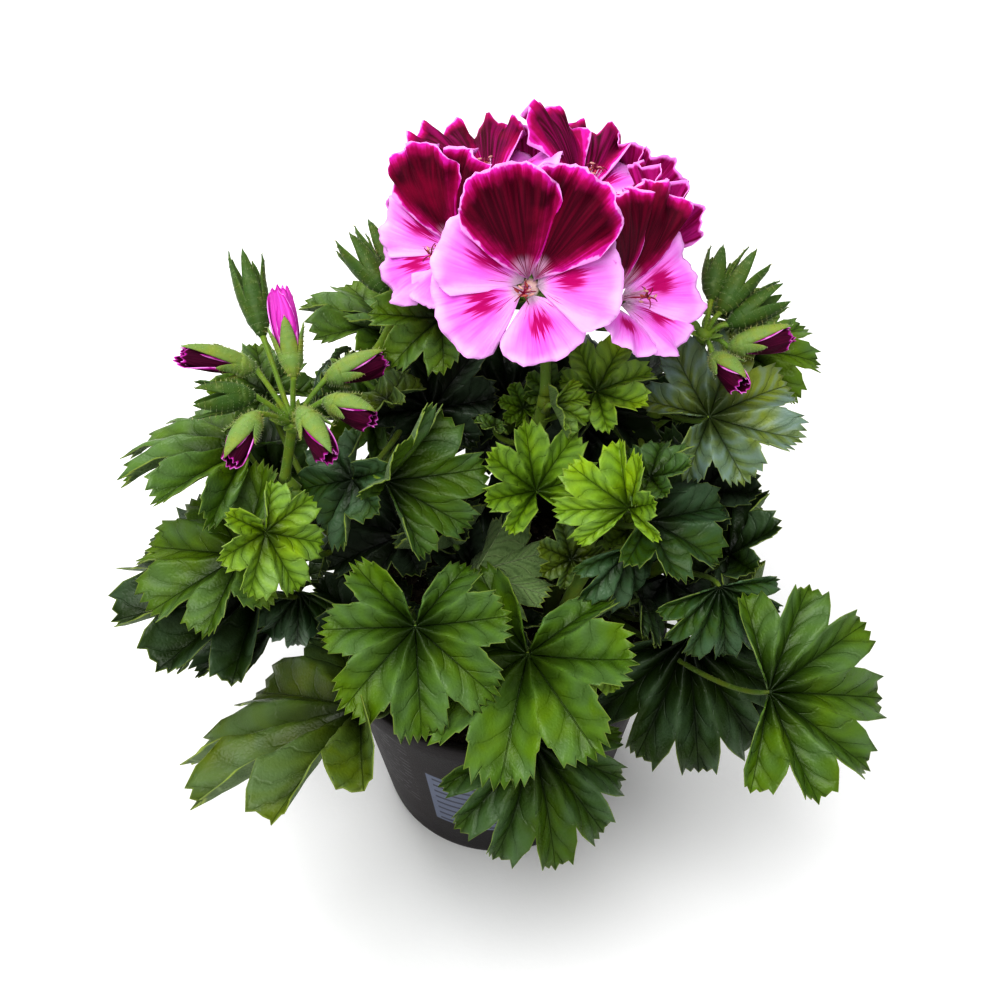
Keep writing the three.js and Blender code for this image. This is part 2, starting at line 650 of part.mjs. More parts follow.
function budGreen(bud) {
  if (bud.shows === 'open') return openCup(bud);
  const { from, length, frame } = bud;
  const r = BUD_RADIUS;
  const shut = [[0, -0.5], [r, 0.3 * length], [0.8 * r, 0.65 * length], [0, length]];
  return alongFrame(turned(shut, 6), from, frame);
}

function budPetals({ from, length, frame }) {
  const r = BUD_RADIUS - GAP;
  const foot = 0.2 * length + GAP;
  const profile = [[0, foot], [0.9 * r, foot], [0.9 * r, 0.7 * length], [0, length]];
  return alongFrame(turned(profile, 7), from, frame);
}

// Assembly
const stalk = (from, to, rise, radius, sides = 3) => {
  const middle = from.clone().lerp(to, 0.5).add(new THREE.Vector3(0, 0, rise));
  return tube([from, middle, to], radius, sides, 2);
};

// A flower stalk with a knob at its end, from which the stalks of the flowers part
function umbel({ stem, joint }, feet, gap) {
  const middle = vec(joint);
  const knob = turned([[0, -KNOB], [KNOB, -0.4 * KNOB], [KNOB, 0.4 * KNOB], [0, KNOB]], 8);
  const parts = [stalk(vec(STEMS[stem].top), middle, 0, PEDUNCLE_RADIUS + gap, 5)];
  parts.push(solid(knob.translate(...joint)));
  for (const foot of feet) {
    const start = foot.clone().sub(middle).setLength(0.6 * KNOB).add(middle);
    parts.push(stalk(start, foot, 1, PEDICEL_RADIUS + gap));
  }
  return parts;
}

const footOf = ({ throat, axis }) => throat.clone().addScaledVector(axis, -THROAT - SEPAL.depth + 1);

// Everything that grows on a leafy stem but its blades, with the stalks' radius made larger
// by the gap that other nodes keep from them
function woodOf(name, gap) {
  const path = stemPath(STEMS[name]);
  const parts = [tube(path, STEM_RADIUS + gap, 5, 5)];
  for (const leaf of leaves.filter(({ stem }) => stem === name)) {
    parts.push(leafStalk(path, leaf, PETIOLE_RADIUS + gap));
  }
  for (const cluster of Object.values(CLUSTERS).filter(({ stem }) => stem === name)) {
    const buds = cluster.buds.map(budFrom);
    parts.push(...umbel(cluster, buds.map(({ from }) => from), gap), ...buds.map(budGreen));
  }
  if (name === HEAD.stem) {
    parts.push(...umbel(HEAD, blooms.map(footOf), gap), ...blooms.map(calyx));
  }
  return parts;
}

const blooms = BLOOMS.map(bloomFrom);
const greens = {};
const clearance = {};
for (const name of Object.keys(STEMS)) {
  greens[name] = woodOf(name, 0);
  clearance[name] = woodOf(name, GAP);
}
const placed = [];
for (const leaf of leaves) {
  const others = Object.keys(clearance).filter((name) => name !== leaf.stem);
  const neighbours = [...placed, ...others.flatMap((name) => clearance[name])];
  const root = leafStalk(stemPath(STEMS[leaf.stem]), leaf, PETIOLE_RADIUS);
  greens[leaf.stem].push(cutBack(leafBlade(leaf, 0), root, neighbours));
  placed.push(leafBlade(leaf, GAP));
}

const plum = [];
for (const [name, cluster] of Object.entries(CLUSTERS)) {
  cluster.buds.map(budFrom).forEach((bud, i) => {
    if (bud.shows === 'open') plum.push([`bud_petals_${name}_${i + 1}`, budPetals(bud)]);
  });
}

const nodes = [
  ['pot', pot(), material(0x2e2a2b, 0.55)],
  ['soil', soil(), material(0x2a1f18, 0.95)],
];
for (const [name, parts] of Object.entries(greens)) {
  nodes.push([`leafy_stem_${name}`, fuse(parts), material(0x4f7a2a)]);
}
const wood = Object.values(clearance).flat();
blooms.forEach((bloom, i) => {
  for (const [half, side] of [['upper', 1], ['lower', -1]]) {
    const hub = hubHalf(bloom, side, 0);
    const parts = petals(bloom, half, 0).map((petal) => cutBack(petal, hub, [...wood, ...placed]));
    nodes.push([`bloom_${i + 1}_${half}`, fuse([hub, ...parts]), material(COLORS[half])]);
    placed.push(hubHalf(bloom, side, GAP), ...petals(bloom, half, GAP));
  }
});
plum.forEach(([name, body]) => nodes.push([name, body, material(0xb3168c)]));

const plant = new THREE.Group();
for (const [name, body, finish] of nodes) plant.add(meshOf(name, body, finish));

export default plant;
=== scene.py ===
"""Potted regal pelargonium, dressed: leaves with veins and teeth, ruffled petals in two
colours, stamens, hairy stalks and buds, a thin plastic pot and crumbly soil.

Shapes are worked out in millimetres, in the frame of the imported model, by the same rules
that place its leaves, blooms and buds, and are turned into metres as meshes are made.
Colours are linear.
"""

import math

import bpy
import numpy as np
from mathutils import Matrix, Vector


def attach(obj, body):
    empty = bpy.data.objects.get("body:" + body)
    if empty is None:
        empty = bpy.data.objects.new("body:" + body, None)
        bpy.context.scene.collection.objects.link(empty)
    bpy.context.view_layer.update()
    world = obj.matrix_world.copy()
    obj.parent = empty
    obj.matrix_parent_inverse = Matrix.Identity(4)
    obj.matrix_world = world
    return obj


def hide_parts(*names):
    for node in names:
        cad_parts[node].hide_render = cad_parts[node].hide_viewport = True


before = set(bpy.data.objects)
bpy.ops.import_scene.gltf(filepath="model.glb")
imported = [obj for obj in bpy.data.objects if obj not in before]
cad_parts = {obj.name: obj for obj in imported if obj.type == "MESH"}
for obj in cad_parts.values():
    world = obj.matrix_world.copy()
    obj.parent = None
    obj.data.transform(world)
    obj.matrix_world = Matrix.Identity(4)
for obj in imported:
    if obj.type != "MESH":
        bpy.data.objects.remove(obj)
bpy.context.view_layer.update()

MM = 0.001
PHASE_SEED = 11
RING_SEED = 14
NOISE_SEED = 5

# The plant's own sizes and places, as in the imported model
POT = {"height": 102, "rim": 65, "base": 47, "wall": 1.4, "floor": 1.6, "lip": 9, "lip_out": 2.2}
LIP_FOOT = POT["height"] - POT["lip"]
SOIL = {"top": 95, "mound": 2.5, "hole": 26}
GAP = 0.3
STEM_RADIUS = 2.7
PETIOLE_RADIUS = 1.1
PEDUNCLE_RADIUS = 1.8
PEDICEL_RADIUS = 0.9
KNOB = 3.4
VEIN_STEP = 48
LEAF_EDGE = 168

# How leaf blades are held: cup, fold along the middle vein and waves of the margin as shares
# of the leaf's length, droop of the tip in radians, and how far round the blade reaches
HABITS = {
    "open": {"cup": 0.08, "fold": 0.05, "droop": 0.45, "wave": 0.10, "span": 0.95},
    "round": {"cup": 0.10, "fold": 0.0, "droop": 0.2, "wave": 0.05, "span": 1},
    "wide": {"cup": 0.02, "fold": 0.04, "droop": 0.3, "wave": 0.06, "span": 0.72},
    "arched": {"cup": -0.08, "fold": -0.15, "droop": 0.9, "wave": 0.05, "span": 0.7},
    "hanging": {"cup": -0.04, "fold": -0.10, "droop": 0.6, "wave": 0.05, "span": 0.55},
    "cupped": {"cup": 0.28, "fold": 0.12, "droop": 0.0, "wave": 0.07, "span": 0.9},
    "folded": {"cup": 0.05, "fold": 0.75, "droop": 0.25, "wave": 0.06, "span": 0.8},
}

# Leafy stems: where each leaves the soil and where it ends
STEMS = {
    "front_left": {"foot": [-22, -18], "top": [-34, -30, 142]},
    "front": {"foot": [3, -24], "top": [4, -36, 150]},
    "front_right": {"foot": [20, -16], "top": [36, -26, 172]},
    "right": {"foot": [34, -2], "top": [66, -14, 152]},
    "left": {"foot": [-36, 0], "top": [-72, -12, 190]},
    "centre_left": {"foot": [-12, -2], "top": [-20, -2, 176]},
    "centre": {"foot": [4, 4], "top": [16, 6, 212]},
    "centre_right": {"foot": [20, 2], "top": [44, -14, 186]},
    "back_left": {"foot": [-18, 18], "top": [-42, 34, 206]},
    "back_right": {"foot": [22, 20], "top": [66, 24, 204]},
    "back": {"foot": [0, 32], "top": [8, 58, 186]},
}

# Each leaf: stem, joint, tip, turn, habit and tone of green
LEAVES = [
    ["front_left", [-27, -59, 170], [-25, -85, 146], 0, "open", "mid"],
    ["front_left", [-46, -74, 145], [-101, -78, 114], -22, "wide", "olive"],
    ["front_left", [-45, -28, 130], [-66, -22, 142], 0, "open", "shade"],
    ["front", [10, -59, 155], [2, -96, 134], -6, "open", "mid"],
    ["front", [31, -54, 146], [30, -60, 132], 0, "round", "bright"],
    ["front", [12, -70, 119], [20, -99, 84], 8, "hanging", "dull"],
    ["front", [-7, -30, 163], [4, -13, 176], 200, "folded", "pale"],
    ["front", [-10, -8, 136], [-11, 3, 152], 0, "open", "shade"],
    ["front", [-5, -28, 152], [-4, -30, 140], 20, "arched", "dark"],
    ["front", [-6, -34, 136], [-26, -51, 124], 0, "open", "shade"],
    ["left", [-85, -13, 109], [-120, -8, 91], -35, "arched", "dark"],
    ["left", [-71, -21, 140], [-74, -26, 112], 30, "hanging", "blue"],
    ["left", [-73, -49, 206], [-66, -56, 187], 0, "round", "bright"],
    ["left", [-87, -31, 173], [-117, -18, 157], 15, "open", "green"],
    ["left", [-83, -26, 150], [-131, -5, 138], 5, "wide", "dark"],
    ["left", [-87, 5, 187], [-131, 16, 179], -20, "arched", "mid"],
    ["left", [-81, 24, 196], [-100, 33, 200], 0, "round", "green"],
    ["left", [-83, 24, 152], [-90, 42, 164], 0, "open", "mid"],
    ["right", [68, -34, 130], [73, -64, 90], -10, "hanging", "dark"],
    ["right", [91, -69, 147], [132, -61, 132], -30, "wide", "mid"],
    ["right", [75, -39, 166], [79, -50, 139], -5, "hanging", "blue"],
    ["right", [101, -26, 118], [89, -50, 92], -20, "hanging", "dark"],
    ["right", [91, -29, 139], [95, -20, 155], 60, "folded", "olive"],
    ["right", [81, -19, 158], [96, -4, 170], 35, "open", "dark"],
    ["right", [72, 4, 166], [91, 12, 182], 0, "open", "shade"],
    ["right", [62, -8, 132], [83, -20, 122], 0, "open", "shade"],
    ["front_right", [44, -29, 174], [47, -32, 149], 0, "arched", "blue"],
    ["front_right", [50, -29, 146], [57, -27, 128], 0, "arched", "dark"],
    ["front_right", [25, -32, 172], [21, -24, 182], 10, "round", "olive"],
    ["back_left", [-48, -20, 199], [-57, -27, 179], -8, "open", "blue"],
    ["back_left", [-36, -29, 208], [-20, -7, 218], -70, "folded", "dull"],
    ["back_left", [-41, 61, 195], [-70, 66, 193], -10, "open", "green"],
    ["back_left", [-19, 27, 228], [-35, 10, 222], 10, "open", "green"],
    ["back_left", [-38, 14, 202], [-53, 17, 192], -20, "open", "olive"],
    ["back_left", [-59, 36, 200], [-65, 31, 184], -50, "arched", "blue"],
    ["back_left", [-24, 28, 184], [-28, 54, 192], 0, "open", "shade"],
    ["back_left", [-46, 32, 176], [-68, 46, 180], 0, "open", "mid"],
    ["centre_left", [-14, -13, 191], [-34, -19, 183], -40, "arched", "dark"],
    ["centre_left", [-15, -25, 173], [-34, -22, 166], -20, "cupped", "dark"],
    ["centre_left", [-34, -8, 156], [-58, -16, 146], 0, "open", "shade"],
    ["back_left", [-32, 51, 142], [-34, 31, 132], 0, "open", "shade"],
    ["centre", [13, -19, 192], [8, -3, 208], 0, "cupped", "bright"],
    ["centre", [33, 6, 214], [52, 10, 218], -10, "open", "bright"],
    ["centre", [18, -4, 218], [22, -13, 211], 40, "folded", "bright"],
    ["centre", [9, 15, 197], [5, 21, 203], 20, "round", "mid"],
    ["centre", [18, 16, 204], [17, 22, 213], 0, "round", "green"],
    ["centre", [-1, 1, 202], [-8, 1, 204], -20, "round", "green"],
    ["centre", [-6, 22, 142], [-13, 3, 126], 0, "open", "shade"],
    ["back", [-2, 50, 152], [-6, 23, 154], 0, "open", "shade"],
    ["centre_right", [43, -31, 197], [40, -16, 213], 40, "folded", "bright"],
    ["centre_right", [47, 1, 147], [56, -8, 142], 0, "round", "bright"],
    ["centre_right", [51, -26, 185], [74, -14, 175], -20, "open", "blue"],
    ["centre_right", [38, 9, 122], [55, -12, 116], 0, "open", "shade"],
    ["back_right", [50, -23, 203], [64, -16, 208], 20, "open", "dull"],
    ["back_right", [74, 13, 153], [80, 32, 174], 20, "open", "dull"],
    ["back_right", [72, 6, 202], [100, 20, 203], -20, "open", "painted_sheen_grey"],
    ["back_right", [88, 43, 197], [115, 40, 195], -15, "arched", "green"],
    ["back_right", [82, 48, 208], [98, 47, 210], -5, "open", "green"],
    ["back_right", [68, 26, 194], [83, 32, 198], -10, "open", "blue"],
    ["back_right", [38, 30, 182], [40, 64, 182], 0, "open", "shade"],
    ["back_right", [60, 41, 148], [73, 56, 164], 0, "open", "shade"],
    ["back_right", [32, 34, 168], [36, 14, 158], 0, "open", "shade"],
    ["back", [4, 44, 174], [0, 70, 182], 0, "open", "shade"],
]

# Leaves in rings at the back, which the photo doesn't show
RINGS = [
    {"count": 4, "azimuths": [35, 150], "radius": 64, "height": 122, "length": 36, "dip": 55,
     "habit": "wide"},
    {"count": 3, "azimuths": [55, 125], "radius": 70, "height": 160, "length": 32, "dip": 35,
     "habit": "open"},
    {"count": 2, "azimuths": [75, 120], "radius": 66, "height": 198, "length": 28, "dip": 20,
     "habit": "open"},
]
RING_TONES = ["dark", "mid", "dull", "dark", "green", "mid", "blue", "green", "mid"]

# The flower head, and each bloom: throat, facing, upward, turns of its lower petals
# in degrees, and size
HEAD = {"stem": "centre", "joint": [16, 24, 234]}
BLOOMS = [
    [[9, -4, 269], [-0.1, -0.7, 0.7], [0.2, 0.5, 1], [-61, -121, 66, 149], 1],
    [[-17, 20, 263], [-0.6, -0.45, 0.65], [0.4, 0.6, 0.6], [-66, -120, 172], 0.87],
    [[43, 4, 259], [0.65, -0.4, 0.75], [-0.25, 0.85, 0.95], [82, 128, -150], 0.87],
    [[-4, 52, 268], [-0.2, 0.45, 0.85], [-0.3, 0.9, -0.5], [-66, 72, 180], 0.85],
    [[30, 52, 266], [0.25, 0.4, 0.85], [-0.5, 0.85, -0.5], [58, 112, -140], 0.85],
    [[51, 38, 247], [0.7, 0.45, 0.2], [0.1, 0.15, 1], [-118, 118, 178], 0.75],
    [[-18, 52, 242], [-0.6, 0.7, 0.3], [-0.05, -0.1, 1.05], [-110, 108, 182], 0.75],
    [[11, 72, 236], [-0.05, 1, 0.1], [0.25, 0.2, 0.65], [-113, 110, 177], 0.8],
    [[43, 67, 234], [0.6, 0.7, 0.1], [0.1, 0.1, 0.9], [-103, 105, 180], 0.8],
]

# Petals: length, half angle of the blade, how far they lie open at foot and tip, turns round
# the bloom, depth of the waves and of the frill, and the claw: its width at the foot, how
# much it widens and by which share of the length
PETAL = {
    "upper": {"length": 45, "spread": 28, "open": [21, 75], "turns": [-22, 22], "edge": 0.03,
              "frill": 0.066, "claw": [0.62, 0.41, 0.45]},
    "lower": {"length": 32, "spread": 37, "open": [34, 92], "turns": None, "edge": 0.04,
              "frill": 0.060, "claw": [1.18, 0.12, 0.4]},
}
LAYER = 7
THROAT = 9
HUB_FOOT = 2.2
SEPAL_DEPTH = 8

# Clusters of buds: where their stalks part, the stem that carries them, and each bud's
# foot, tip and whether petals show
BUD_RADIUS = 4.3
CLUSTERS = {
    "left": {
        "joint": [-67, -10, 215],
        "stem": "left",
        "buds": [
            [[-65, -8, 235], [-70, 15, 252], "open"],
            [[-77, 12, 234], [-85, 38, 248], "shut"],
            [[-79, 2, 229], [-102, -2, 238], "open"],
            [[-78, -11, 229], [-97, -17, 233], "shut"],
            [[-76, -20, 230], [-84, -36, 224], "open"],
            [[-62, -20, 232], [-52, -36, 226], "open"],
            [[-55, -13, 229], [-39, -20, 227], "open"],
            [[-56, 1, 225], [-37, 9, 226], "open"],
        ],
    },
    "right": {
        "joint": [70, 25, 222],
        "stem": "back_right",
        "buds": [
            [[72, 32, 232], [77, 50, 238], "shut"],
            [[75, 28, 230], [89, 46, 240], "shut"],
            [[78, 26, 226], [98, 36, 232], "shut"],
            [[78, 20, 221], [99, 22, 225], "open"],
            [[72, 15, 222], [81, 0, 222], "open"],
        ],
    },
    "back": {
        "joint": [-34, 34, 224],
        "stem": "back_left",
        "buds": [
            [[-38, 36, 232], [-52, 54, 240], "shut"],
            [[-34, 42, 230], [-46, 66, 236], "shut"],
        ],
    },
}

# Greens of the leaves, and other tints
TONES = {
    "bright": (0.125, 0.222, 0.008),
    "green": (0.052, 0.104, 0.003),
    "mid": (0.052, 0.108, 0.004),
    "dull": (0.032, 0.072, 0.005),
    "olive": (0.048, 0.080, 0.004),
    "blue": (0.026, 0.064, 0.012),
    # A pale grey-green for a leaf whose top reflects the light: painted sheen.
    "painted_sheen_grey": (0.110, 0.165, 0.075),
    "dark": (0.010, 0.026, 0.001),
    # A near-black green for leaves deep inside the plant: painted shade.
    "shade": (0.004, 0.012, 0.001),
    "pale": (0.150, 0.230, 0.070),
}

STALK_TONE = (0.16, 0.27, 0.04)
WOOD_TONE = (0.06, 0.09, 0.02)
CALYX_TONE = (0.13, 0.24, 0.05)
THROAT_TONE = (0.55, 0.42, 0.46)
BUD_TONES = {"open": (0.17, 0.27, 0.075), "shut": (0.055, 0.115, 0.022)}

# Petals: the dark ones of the front blooms are the deepest red
FRONT_BLOOMS = 3
FRONT_TONE = (0.140, 0.001, 0.026)
BACK_TONE = (0.25, 0.002, 0.10)
PINK_BUD = ("left", 1)
PINK_TONE = (0.50, 0.055, 0.40)
PLUM_TONE = (0.055, 0.001, 0.022)
FILAMENT_TONE = (0.80, 0.62, 0.74)
ANTHER_TONES = [(0.60, 0.36, 0.30), (0.45, 0.12, 0.08)]
STYLE_TONE = (0.55, 0.06, 0.12)
STIGMA_TONE = (0.22, 0.01, 0.05)

# Hairs: how many on a stalk or sepal, their length and their tint
HAIR_RADIUS = 0.06
LEAF_STALK_HAIRS = {"count": 26, "length": 1.0, "tint": (0.30, 0.36, 0.2)}
BRANCH_HAIRS = {"count": 60, "length": 1.3, "tint": (0.5, 0.56, 0.36)}
SEPAL_HAIRS = {"count": 70, "length": 1.2, "tint": (0.5, 0.58, 0.36)}

# Pointed scales: stipules, the bracts of an umbel and the sepals of a bloom
STIPULE = {"length": 6.0, "width": 2.6, "curl": 0.15, "tint": STALK_TONE}
BRACT = {"length": 6.5, "width": 3.0, "curl": 0.2, "tint": (0.17, 0.27, 0.06)}
SEPAL = {"length": 8.5, "width": 3.4, "curl": -0.25, "tint": (0.13, 0.25, 0.05)}

# How many of what repeats
BRACTS = 6
SEPALS = 5
STAMENS = 7
STIGMA_PARTS = 5
DRAINS = 4
CRUMBS = 900

# Thicknesses of blades, and how thin their rims are
LEAF_BLADE = 0.55
PETAL_BLADE = 0.4
SCALE_BLADE = 0.4
SEPAL_BLADE = 0.45
RIM_SHARE = 0.5

# Side veins run outwards at a slope from a lobe's main vein, so many to a lobe, and those of
# its two halves are staggered
LOBE_TURN = 0.84
SIDE_SLOPE = 1.25
SIDE_COUNT = 5.0
SIDE_SHIFT = 0.25

# Places of the materials in a piece's list
LEAF_TOP, LEAF_UNDER, STALK = range(3)
PETAL_FACE, PETAL_BACK, CENTRE = range(3)

# Print on the pot: a striped panel and faint broken lines, turns in degrees from its front
PANEL = {"turns": (-29.0, 3.0), "heights": (24.0, 66.0), "stripes": (-26.5, 0.5), "pitch": 5.2}
LINES = {"turns": (-62.0, -36.0), "heights": (30.0, 84.0), "pitch": 3.4}

# A crumb of soil: a rough ball of twelve points and its sides
CRUMB = np.array([[0, 0, 1], [0.9, 0, 0.4], [0.3, 0.85, 0.4], [-0.7, 0.5, 0.4],
                  [-0.7, -0.5, 0.4], [0.3, -0.85, 0.4], [0.7, 0.5, -0.4], [-0.3, 0.85, -0.4],
                  [-0.9, 0, -0.4], [-0.3, -0.85, -0.4], [0.7, -0.5, -0.4], [0, 0, -1]])
CRUMB_SIDES = [[0, 1, 2], [0, 2, 3], [0, 3, 4], [0, 4, 5], [0, 5, 1], [11, 7, 6], [11, 8, 7],
               [11, 9, 8], [11, 10, 9], [11, 6, 10], [1, 6, 2], [2, 6, 7], [2, 7, 3], [3, 7, 8],
               [3, 8, 4], [4, 8, 9], [4, 9, 5], [5, 9, 10], [5, 10, 1], [1, 10, 6]]

# Rows across a leaf's blade, as shares of its reach, and the habits of old leaves
LEAF_SHARES = [0.05, 0.12, 0.2, 0.3, 0.4, 0.5, 0.6, 0.7, 0.79, 0.87, 0.935, 1.0]
OLD_HABITS = ("wide", "hanging")

# View, light and camera, in metres and watts
GAMMA = 0.86
EXPOSURE = 0.16
WORLD_STRENGTH = 0.60
LIT = Vector((0, 0, 0.15))
LIGHTS = [
    ("key", (-0.25, -0.5, 1.45), 1.1, 15),
    ("back", (-0.45, 0.8, 0.95), 0.7, 5),
]
VIEW_TILT = math.radians(48.5)
TARGET = Vector((0.0008, 0, 0.166))
DISTANCE = 0.567
LENS, SENSOR = 57.6, 36


def seeded(seed):
    """Park and Miller's generator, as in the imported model."""
    state = seed
    while True:
        state = state * 16807 % 2147483647
        yield state / 2147483647


draw = seeded(PHASE_SEED)
ring_draw = seeded(RING_SEED)
rng = np.random.default_rng(NOISE_SEED)


def unit(v):
    v = np.asarray(v, float)
    return v / np.linalg.norm(v)


def smoothstep(low, high, x):
    t = np.clip((x - low) / (high - low), 0, 1)
    return t * t * (3 - 2 * t)


def frame_along(start, end, turn):
    """Three axes from a line and a turn about it in degrees; the third faces up."""
    y = unit(np.subtract(end, start))
    x = unit(np.cross(y, [0, 0, 1]))
    z = np.cross(x, y)
    cos, sin = math.cos(math.radians(turn)), math.sin(math.radians(turn))
    return np.array([x * cos + z * sin, y, z * cos - x * sin])


def through(points, count):
    """Points on a centripetal Catmull-Rom curve."""
    points = np.asarray(points, float)
    ends = np.vstack([2 * points[0] - points[1], points, 2 * points[-1] - points[-2]])
    last = len(points) - 1
    result = []
    for t in np.linspace(0, last, count):
        whole = min(int(t), last - 1)
        w = t - whole
        p0, p1, p2, p3 = ends[whole:whole + 4]
        d0, d1, d2 = (math.sqrt(max(np.linalg.norm(b - a), 1e-6))
                      for a, b in ((p0, p1), (p1, p2), (p2, p3)))
        t1 = d1 * ((p1 - p0) / d0 - (p2 - p0) / (d0 + d1) + (p2 - p1) / d1)
        t2 = d1 * ((p2 - p1) / d1 - (p3 - p1) / (d1 + d2) + (p3 - p2) / d2)
        result.append(p1 + w * t1 + w * w * (3 * (p2 - p1) - 2 * t1 - t2)
                      + w ** 3 * (2 * (p1 - p2) + t1 + t2))
    return np.array(result)


def bezier(p0, p1, p2, p3, count):
    t = np.linspace(0, 1, count)[:, None]
    return ((1 - t) ** 3 * p0 + 3 * t * (1 - t) ** 2 * p1
            + 3 * t * t * (1 - t) * p2 + t ** 3 * p3)


def axes_along(direction, upward):
    """Three axes: the middle one lies along a direction, the first is square to it."""
    y = unit(direction)
    x = unit(np.cross(y, upward))
    return np.array([x, y, np.cross(x, y)])


def lattice(shares, across):
    """A share and a place across for each point of a blade's grid."""
    return np.meshgrid(shares, across, indexing="ij")


def placed(points, origin, axes):
    """Points given along three axes, set about an origin."""
    return np.asarray(origin) + np.asarray(points) @ np.asarray(axes)


def laid(x, y, z, origin, axes):
    """A grid of points, placed."""
    return placed(np.stack([x, y, z], -1), origin, axes)


class Piece:
    """Collects shells, each with a tint, a place on its own surface and a material."""

    def __init__(self, name, node, slot, materials):
        self.name, self.node, self.slot, self.materials = name, node, slot, materials
        self.points, self.faces, self.spots, self.tints = [], [], [], []
        self.slots, self.flat = [], []
        self.count = 0

    def add(self, points, faces, spots=None, tint=(1, 1, 1), slots=0, flat=False):
        points = np.asarray(points, float)
        n = len(points)
        self.points.append(points)
        self.spots.append(np.zeros((n, 3)) if spots is None else np.asarray(spots, float))
        self.tints.append(np.broadcast_to(np.asarray(tint, float), (n, 3)))
        self.faces.extend([[i + self.count for i in face] for face in faces])
        self.slots.extend([slots] * len(faces) if isinstance(slots, int) else slots)
        self.flat.extend([flat] * len(faces) if isinstance(flat, bool) else flat)
        self.count += n

    def make(self):
        """Makes the mesh and its object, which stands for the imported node."""
        mesh = bpy.data.meshes.new(self.name)
        mesh.from_pydata(np.vstack(self.points) * MM, [], self.faces)
        tints = np.hstack([np.vstack(self.tints), np.ones((self.count, 1))])
        for name, kind, field, values in (
                ("spot", "FLOAT_VECTOR", "vector", np.vstack(self.spots)),
                ("tint", "FLOAT_COLOR", "color", tints)):
            layer = mesh.attributes.new(name, kind, "POINT")
            layer.data.foreach_set(field, values.astype(np.float32).ravel())
        for material in self.materials:
            mesh.materials.append(material)
        mesh.polygons.foreach_set("material_index", self.slots)
        mesh.polygons.foreach_set("use_smooth", [not flat for flat in self.flat])
        mesh.update()
        piece = bpy.data.objects.new(self.name, mesh)
        bpy.context.scene.collection.objects.link(piece)
        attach(piece, "root")
        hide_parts(self.node)
        return piece


def tube(path, radius, sides):
    """A round stalk along a path, with both ends closed; radius may change along it."""
    path = np.asarray(path, float)
    radius = np.broadcast_to(radius, len(path))
    tangents = np.gradient(path, axis=0)
    tangents /= np.linalg.norm(tangents, axis=1)[:, None]
    upright = abs(tangents[0][2]) >= 0.9
    side = unit(np.cross(tangents[0], [1, 0.2, 0] if upright else [0.31, 0.17, 0.93]))
    angles = 2 * math.pi * np.arange(sides) / sides
    rings = []
    for point, tangent, r in zip(path, tangents, radius):
        side = unit(side - tangent * side.dot(tangent))
        other = np.cross(tangent, side)
        around = np.outer(np.cos(angles), side) + np.outer(np.sin(angles), other)
        rings.append(point + r * around)
    points = np.vstack([*rings, path[:1], path[-1:]])
    faces = []
    for i in range(len(path) - 1):
        for k in range(sides):
            a, b = i * sides + k, i * sides + (k + 1) % sides
            faces.append([a, b, b + sides, a + sides])
    first, last = len(path) * sides, len(path) * sides + 1
    top = (len(path) - 1) * sides
    for k in range(sides):
        faces.append([first, (k + 1) % sides, k])
        faces.append([last, top + k, top + (k + 1) % sides])
    return points, faces


def add_tube(piece, path, radius, sides, tint, slot=STALK):
    piece.add(*tube(path, radius, sides), None, tint, slot)


def blade(apex, grid, thickness, facing):
    """A closed blade about a surface that spreads from one point: its points, its faces,
    whether each face lies on top (0), underneath (1) or round the rim (2)."""
    rows, columns, _ = grid.shape
    middle = np.vstack([apex, grid.reshape(-1, 3)])

    def at(row, column):
        return 1 + row * columns + column

    faces = [[0, at(0, c), at(0, c + 1)] for c in range(columns - 1)]
    for r in range(rows - 1):
        for c in range(columns - 1):
            faces.append([at(r, c), at(r + 1, c), at(r + 1, c + 1), at(r, c + 1)])
    a, b, c = np.array([f[:3] for f in faces]).T
    normals = np.zeros_like(middle)
    across = np.cross(middle[b] - middle[a], middle[c] - middle[a])
    for face, normal in zip(faces, across):
        for i in face:
            normals[i] += normal
    if normals.sum(0).dot(facing) < 0:
        faces = [f[::-1] for f in faces]
        normals = -normals
    normals /= np.maximum(np.linalg.norm(normals, axis=1), 1e-9)[:, None]
    half = np.full(len(middle), thickness / 2)
    half[at(rows - 1, 0):] *= RIM_SHARE
    offset = normals * half[:, None]
    n = len(middle)
    loop = ([0] + [at(r, 0) for r in range(rows)] + [at(rows - 1, c) for c in range(1, columns)]
            + [at(r, columns - 1) for r in range(rows - 2, -1, -1)])
    forward = {(f[i], f[(i + 1) % len(f)]) for f in faces for i in range(len(f))}
    rim = []
    for i, a in enumerate(loop):
        b = loop[(i + 1) % len(loop)]
        if (a, b) not in forward:
            a, b = b, a
        rim.append([b, a, a + n, b + n])
    under = [[i + n for i in f[::-1]] for f in faces]
    where = [0] * len(faces) + [1] * len(under) + [2] * len(rim)
    return np.vstack([middle + offset, middle - offset]), faces + under + rim, where


def add_blade(piece, apex, grid, thickness, facing, tint, slots, place=None):
    """Adds a blade with a material for its top and rim and one for its underside; place
    holds its spots: across and share for each point of the grid, and one number."""
    points, faces, where = blade(apex, grid, thickness, facing)
    spots = None
    if place:
        across, share, number = place
        side = np.stack([across, share, np.full_like(share, number)], -1).reshape(-1, 3)
        spots = np.vstack([[0, 0, number], side] * 2)
    top, under = slots
    piece.add(points, faces, spots, tint, [under if w == 1 else top for w in where],
              [w == 2 for w in where])
    return points


